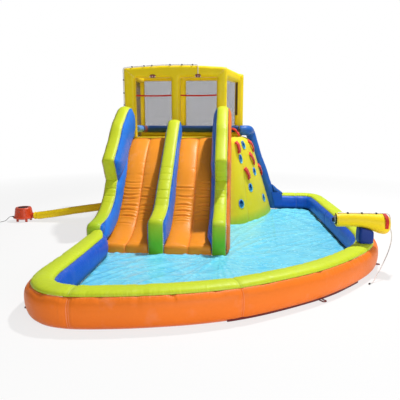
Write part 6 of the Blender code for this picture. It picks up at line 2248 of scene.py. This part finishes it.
def saddle(skin: Skin, place: Point, along: Point, up: Point, radius: float = 0.0075) -> None:
    """Adds a clip over a hose: an arched band with two flat feet.

    Args:
        skin: the piece that gathers the clips.
        place: the middle of the hose.
        along: the hose's direction.
        up: the direction away from what the hose lies on.
        radius: the arch's inner radius.
    """
    along, up = np.array(along, float), np.array(up, float)
    side = np.cross(along, up)
    angle = np.linspace(0, math.pi, 13)
    arch = [(math.cos(a) * radius, math.sin(a) * radius) for a in angle]
    line = [
        (radius + 0.012, -radius * 0.75), (radius + 0.004, -radius * 0.75), (radius, -radius * 0.3), *arch
    ]
    line += [(-x, y) for x, y in line[2::-1]]
    path = np.array([np.array(place) + side * x + up * y for x, y in line])
    ahead = headings(path)
    out = np.cross(np.broadcast_to(along, ahead.shape), ahead)
    ring = rounded_ring(0.020, 0.0048, 16, 4)
    skin.grid(sweep(path, ring, along, out))


@dataclass
class Cannon:
    """Water cannon on the pool wall."""

    x: float = 2.40
    y: float = -2.70
    base: float = 0.3086
    top: float = 0.6288
    front: float = 0.322
    length: float = 0.565
    post_width: float = 0.155
    front_radius: float = 0.0717
    back_radius: float = 0.0634
    back_drop: float = 0.112
    gap: float = 0.0003
    clip_x: tuple = (2.20, 2.351, 2.504)
    nozzle_profile: tuple = (
        (0.0, 0.0), (0.0, 0.049), (0.003, 0.050), (0.010, 0.050), (0.0125, 0.048), (0.0125, 0.040),
        (0.016, 0.040), (0.0165, 0.037), (0.0165, 0.030), (0.030, 0.027), (0.034, 0.0245), (0.035, 0.021),
        (0.026, 0.019), (0.020, 0.0),
    )

    def barrel(self) -> None:
        """Builds the barrel, flush along its top and full at its back."""
        share = np.concatenate([np.linspace(0, 0.9, 61), np.linspace(0.9, 1, 16)[1:]])
        radius = barrel_radius(share)
        radius[3:-6] = np.convolve(radius, np.ones(7) / 7, "same")[3:-6]
        middle = self.top - np.where(share < 0.9, radius, self.back_drop)
        x = self.x - self.front + share * self.length
        for size, reach in ((0.8, 0.004), (0.45, 0.006), (0.0, 0.0065)):
            x = np.concatenate([[x[0] + reach * 0.2], x, [self.x - self.front + self.length + reach]])
            radius = np.concatenate([[self.front_radius * size], radius, [self.back_radius * size]])
            middle = np.concatenate([[self.top - self.front_radius], middle, [self.top - self.back_drop]])
        turn = np.linspace(0, 2 * math.pi, 64, endpoint=False)
        offset = turn - np.array([math.pi / 2, -2.4, -0.7])[:, None]
        seam_turn = np.abs((offset + math.pi) % (2 * math.pi) - math.pi).min(axis=0)
        end = np.minimum(np.abs(x - (self.x - self.front + 0.012)), np.abs(x - (self.x + 0.225)))[:, None]
        near = np.minimum(end, seam_turn[None, :] * 0.09)
        drawn = gathers(x[:, None], seam_turn[None, :] * 0.09, 401, 0.003, 0.03, 0.04)
        drawn = drawn + gathers(turn[None, :] * 0.09, end, 403, 0.004, 0.05, 0.03) + 0.003 * bell(end, 0.007)
        size = np.maximum(radius[:, None] - drawn * (radius[:, None] > 0.05), 0)
        grid = np.dstack([
            np.broadcast_to(x[:, None], near.shape), self.y + size * np.cos(turn),
            middle[:, None] + size * np.sin(turn),
        ])
        skin = Skin("cannon_barrel_cover").grid(grid, near)
        skin.place(YELLOW, "cannon_barrel", fill=0.95, body=Body.CANNON)

    def post(self) -> None:
        """Builds the square post, whose top follows the barrel's underside."""
        ring = rounded_ring(self.post_width, self.post_width, 56, 5)
        share = (self.front + ring[:, 0]) / self.length
        top = self.top - 2 * barrel_radius(share) - self.gap
        rows, near = [], []
        steps = [(0, 0.0), (0, 0.6), (0, 0.93), (0.04, 0.985), *((k / 12, 1.0) for k in range(1, 12))]
        for level, size in (*steps, (0.96, 0.99), (1, 0.94), (1, 0.6), (1, 0.0)):
            bulge = 1 + 0.05 * math.sin(math.pi * level) * (size == 1)
            flat = ring * size * bulge
            height = self.base + (top - self.base) * level
            if level == 1:
                height = self.top - 2 * barrel_radius((self.front + flat[:, 0]) / self.length) - self.gap
            rows.append(np.column_stack([self.x + flat[:, 0], self.y + flat[:, 1], height]))
            near.append(np.full(len(ring), min(level, 1 - level) * 0.13 + 0.006))
        skin = Skin("cannon_post_cover").grid(np.stack(rows), np.stack(near))
        skin.place(POST_BLUE, "cannon_post", fill=0.95, body=Body.CANNON)

    def nozzle(self) -> None:
        """Builds the disc and the spout with its white ring."""
        start, middle = self.x - self.front - self.gap, self.top - self.front_radius
        turn = np.linspace(0, 2 * math.pi, 48, endpoint=False)
        rows = []
        for out, radius in self.nozzle_profile:
            knurl = 1 + (0.012 * np.cos(turn * 24) if 0.001 < out < 0.012 and radius > 0.04 else 0)
            circle = np.stack(
                [0 * turn, radius * knurl * np.cos(turn), radius * knurl * np.sin(turn)], axis=1,
            )
            rows.append(circle + (start - out, self.y, middle))
        white_ring = [0, 0, 0, 0, 0, 1, 1, 1, 0, 0, 0, 0, 0]
        skin = Skin("cannon_nozzle_shell").grid(np.stack(rows), finish=white_ring)
        skin.place(BLACK, "cannon_nozzle", body=Body.CANNON, trim=[WHITE])

    def strap(self) -> None:
        """Builds the red strap to hold, sewn to the barrel's back."""
        radius = float(barrel_radius(0.9))
        x, middle = self.x - self.front + 0.9 * self.length, self.top - radius
        share = np.linspace(0, 1, 33)
        angle = np.radians(94 + 100 * share)
        rise = radius + 0.0042 + 0.012 * np.sin(math.pi * np.clip((share - 0.15) / 0.7, 0, 1)) ** 0.7
        out = np.stack([0 * angle, np.cos(angle), np.sin(angle)], axis=1)
        path = np.array([x, self.y, middle]) + out * rise[:, None]
        ring = rounded_ring(0.036, 0.005, 20, 4)
        grid = sweep(path, ring, np.array([1.0, 0, 0]), out)
        Skin("cannon_strap").grid(grid).place(RED_BAND, "cannon_grip", body=Body.CANNON)

    def build(self) -> None:
        """Makes the whole cannon but its hose."""
        self.barrel()
        self.post()
        self.nozzle()
        self.strap()
        skin = Skin("feed_hose_clips")
        for x in self.clip_x:
            saddle(skin, (x, self.y, self.top + 0.0055), (1, 0, 0), (0, 0, 1), 0.0068)
        skin.place(BLACK, body=Body.CANNON)


@dataclass
class Sprinkling:
    """Sprayers on the front beam, and the clips of their hose."""

    places: tuple = ((-0.37, 2.382), (0.37, 2.382))
    face: float = -0.4097
    clip_x: tuple = (-0.715, -0.516, -0.384, -0.088, 0.108, 0.279)
    clip_z: tuple = (2.329, 2.121, 1.928)
    roof_height: float = 2.518
    roof_arch: float = 0.038
    roof_right: float = 0.84
    roof_width: float = 1.70
    hose_lift: float = 0.0066
    hose_y: float = -0.3797
    side_hose: tuple = (-0.8669, -0.3705)
    plate_steps: tuple = (
        (0.0, 0.016), (0.96, 0.016), (1.0, 0.012), (1.0, -0.004), (
            0.94, -0.009
        ), (0.5, -0.0105), (0.0, -0.011),
    )

    def sprayer(self, side: str, x: float, z: float) -> None:
        """Builds a plate with three spray heads, each with a pale tip.

        Args:
            side: left or right.
            x: the plate's middle.
            z: its height.
        """
        skin = Skin(f"sprayer_{side}_head")
        plate = rounded_ring(0.092, 0.052, 40, 3.2)
        rows = []
        for size, y in self.plate_steps:
            level = np.full(len(plate), self.face + y)
            rows.append(np.column_stack([x + plate[:, 0] * size, level, z + plate[:, 1] * size]))
        skin.grid(np.stack(rows))
        for at, tilt in ((-0.030, -0.5), (0.0, 0.0), (0.030, 0.5)):
            start = np.array([x + at, self.face - 0.006, z - 0.004])
            way = np.array([tilt, -1.0, -0.45]) / math.sqrt(1 + 0.2 + tilt**2)
            steps = (
                (0.0, 0.013), (0.010, 0.0125), (0.013, 0.0105), (0.020, 0.010), (0.021, 0.0075),
                (0.028, 0.0055),
            )
            line = np.array([start + way * out for out, _ in steps])
            grid = tube_grid(line, [radius for _, radius in steps], 20, 0.0015)
            skin.grid(grid, finish=(np.arange(len(grid) - 1) > 9).astype(int))
        skin.place(SPRAYER, f"sprayer_{side}", trim=[WHITE])

    def build(self) -> None:
        """Makes both sprayers and all clips."""
        for side, (x, z) in zip(("left", "right"), self.places):
            self.sprayer(side, x, z)
        skin = Skin("water_hose_clips")
        for x in self.clip_x:
            rise = self.roof_arch * math.sin(math.pi * (self.roof_right - x) / self.roof_width)
            saddle(skin, (x, self.hose_y, self.roof_height + rise + self.hose_lift), (1, 0, 0), (0, 0, 1))
        for z in self.clip_z:
            saddle(skin, (*self.side_hose, z), (0, 0, 1), (-1, 0, 0))
        skin.place(BLACK)


@dataclass
class Cords:
    """The blower's power cord with its coil, and the hose that feeds the cannon."""

    gland_end: tuple = (-2.7836, -0.72, 0.069)
    diameter: float = 0.008
    route: tuple = (
        (-2.7916, -0.72, 0.069), (-2.810, -0.7215, 0.0655), (-2.829, -0.727, 0.054), (-2.845, -0.738, 0.036),
        (-2.858, -0.753, 0.018), (-2.869, -0.774, 0.0075), (-2.880, -0.802, 0.0046), (-2.893, -0.836, 0.0046),
        (-2.912, -0.868, 0.0046), (-2.938, -0.894, 0.0046), (
            -2.956, -0.9065, 0.0046
        ), (-2.969, -0.9098, 0.0046),
    )
    coil_middle: tuple = (-2.985, -0.965)
    turns: int = 6
    pitch: float = 0.0088
    turn_radius: float = 0.042
    tail: float = 0.05
    tail_shares: tuple = ((0.2, 0.1), (0.45, 0.5), (0.7, 0.95), (0.85, 1.0), (1.0, 1.0))
    plug_radius: float = 0.016
    hose_start: tuple = (2.6605, -2.70, 0.5165)
    hose_radius: float = 0.005
    hose_route: tuple = (
        (2.6605, -2.70, 0.5065), (2.667, -2.704, 0.465), (2.674, -2.722, 0.425), (2.664, -2.765, 0.37),
        (2.638, -2.812, 0.31), (2.600, -2.865, 0.25), (2.552, -2.925, 0.19), (2.500, -2.985, 0.132),
        (2.450, -3.040, 0.082), (2.405, -3.090, 0.036), (2.376, -3.121, 0.012), (2.352, -3.145, 0.0056),
        (2.334, -3.163, 0.0056),
    )

    def coil(self) -> Array:
        """Returns the coil's middle line: in, up one layer and out again, then into the plug."""
        turn = np.arange(self.turns * 24 + 1) / 24
        half = self.turns / 2
        radius = self.turn_radius + self.pitch * half / 2 - self.pitch * np.minimum(turn, self.turns - turn)
        height = self.route[-1][2] + self.pitch * np.clip((turn - half + 0.25) / 0.5, 0, 1)
        angle = math.pi / 2 + 2 * math.pi * turn
        middle_x, middle_y = self.coil_middle
        line = np.stack(
            [middle_x + radius * np.cos(angle), middle_y + radius * np.sin(angle), height], axis=1,
        )
        x, y, z = line[-1]
        tail = [(x - self.tail * a, y, z + (self.plug_radius - z) * b) for a, b in self.tail_shares]
        return np.vstack([line, curve_steps([(x, y, z), *tail], 3)[1:]])

    def power(self) -> None:
        """Builds the power cord from the gland to its plug."""
        lead = curve_through([self.gland_end, *self.route], 0.006)
        line = np.vstack([lead, self.coil()[1:]])
        obj = Skin("power_cord_run").grid(
            tube_grid(line, self.diameter / 2, 14)
        ).place(CORD, "power_cord", "cord_coil")

    def hose(self) -> None:
        """Builds the hose from the back of the cannon to its connector on the ground."""
        line = curve_through([self.hose_start, *self.hose_route], 0.01)
        obj = Skin("cannon_hose_run").grid(tube_grid(line, self.hose_radius, 14)).place(HOSE, "cannon_hose")
        ahead = headings(line)[-1]
        steps = (
            (-0.010, 0.0062), (-0.006, 0.0066), (0.006, 0.0066), (0.008, 0.0090), (0.024, 0.0090),
            (0.026, 0.0080),
        )
        along = np.array([line[-1] + ahead * out for out, _ in steps])
        along[:, 2] += np.array([0.0006, 0.001, 0.001, 0.0034, 0.0034, 0.0034])
        grid = tube_grid(along, [radius for _, radius in steps], 20, 0.001)
        pale = (np.arange(len(grid) - 1) < 8).astype(int)
        end = Skin("hose_connector").grid(grid, finish=pale).place(BLACK, trim=[WHITE])


CARRIED = {
    "water_hose": HOSE, "feed_hose": HOSE,
    "blower_housing": HOUSING, "blower_switch": BLACK, "intake_grille": BLACK, "blower_impeller": BLACK,
    "blower_motor": METAL, "cord_gland": BLACK, "power_plug": BLACK,
}


def dress(node: str, finish: Finish) -> None:
    """Gives a solid that stays as it is its finish."""
    mesh = bpy.data.objects[node].data
    mesh.materials.clear()
    mesh.materials.append(Wardrobe.get(finish))


def main() -> None:
    """Builds the scene."""
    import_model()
    Studio().build()
    Cords().power()
    Cords().hose()
    pool, climb, tower = Pool(), ClimbingFace(), Tower()
    pool.wall()
    pool.foot_strap()
    Liner(pool, climb).build()
    StakeLoops().build()
    Slide().build()
    tower.build()
    climb.cover(tower)
    climb.rims()
    climb.hand_holds()
    TopHandle().build()
    rail = ClimbRail(tower)
    rail.build()
    rail.gusset()
    rail.flap()
    AirTube().build()
    Cannon().build()
    Sprinkling().build()
    for node, finish in CARRIED.items():
        dress(node, finish)


if __name__ == "__main__":
    main()
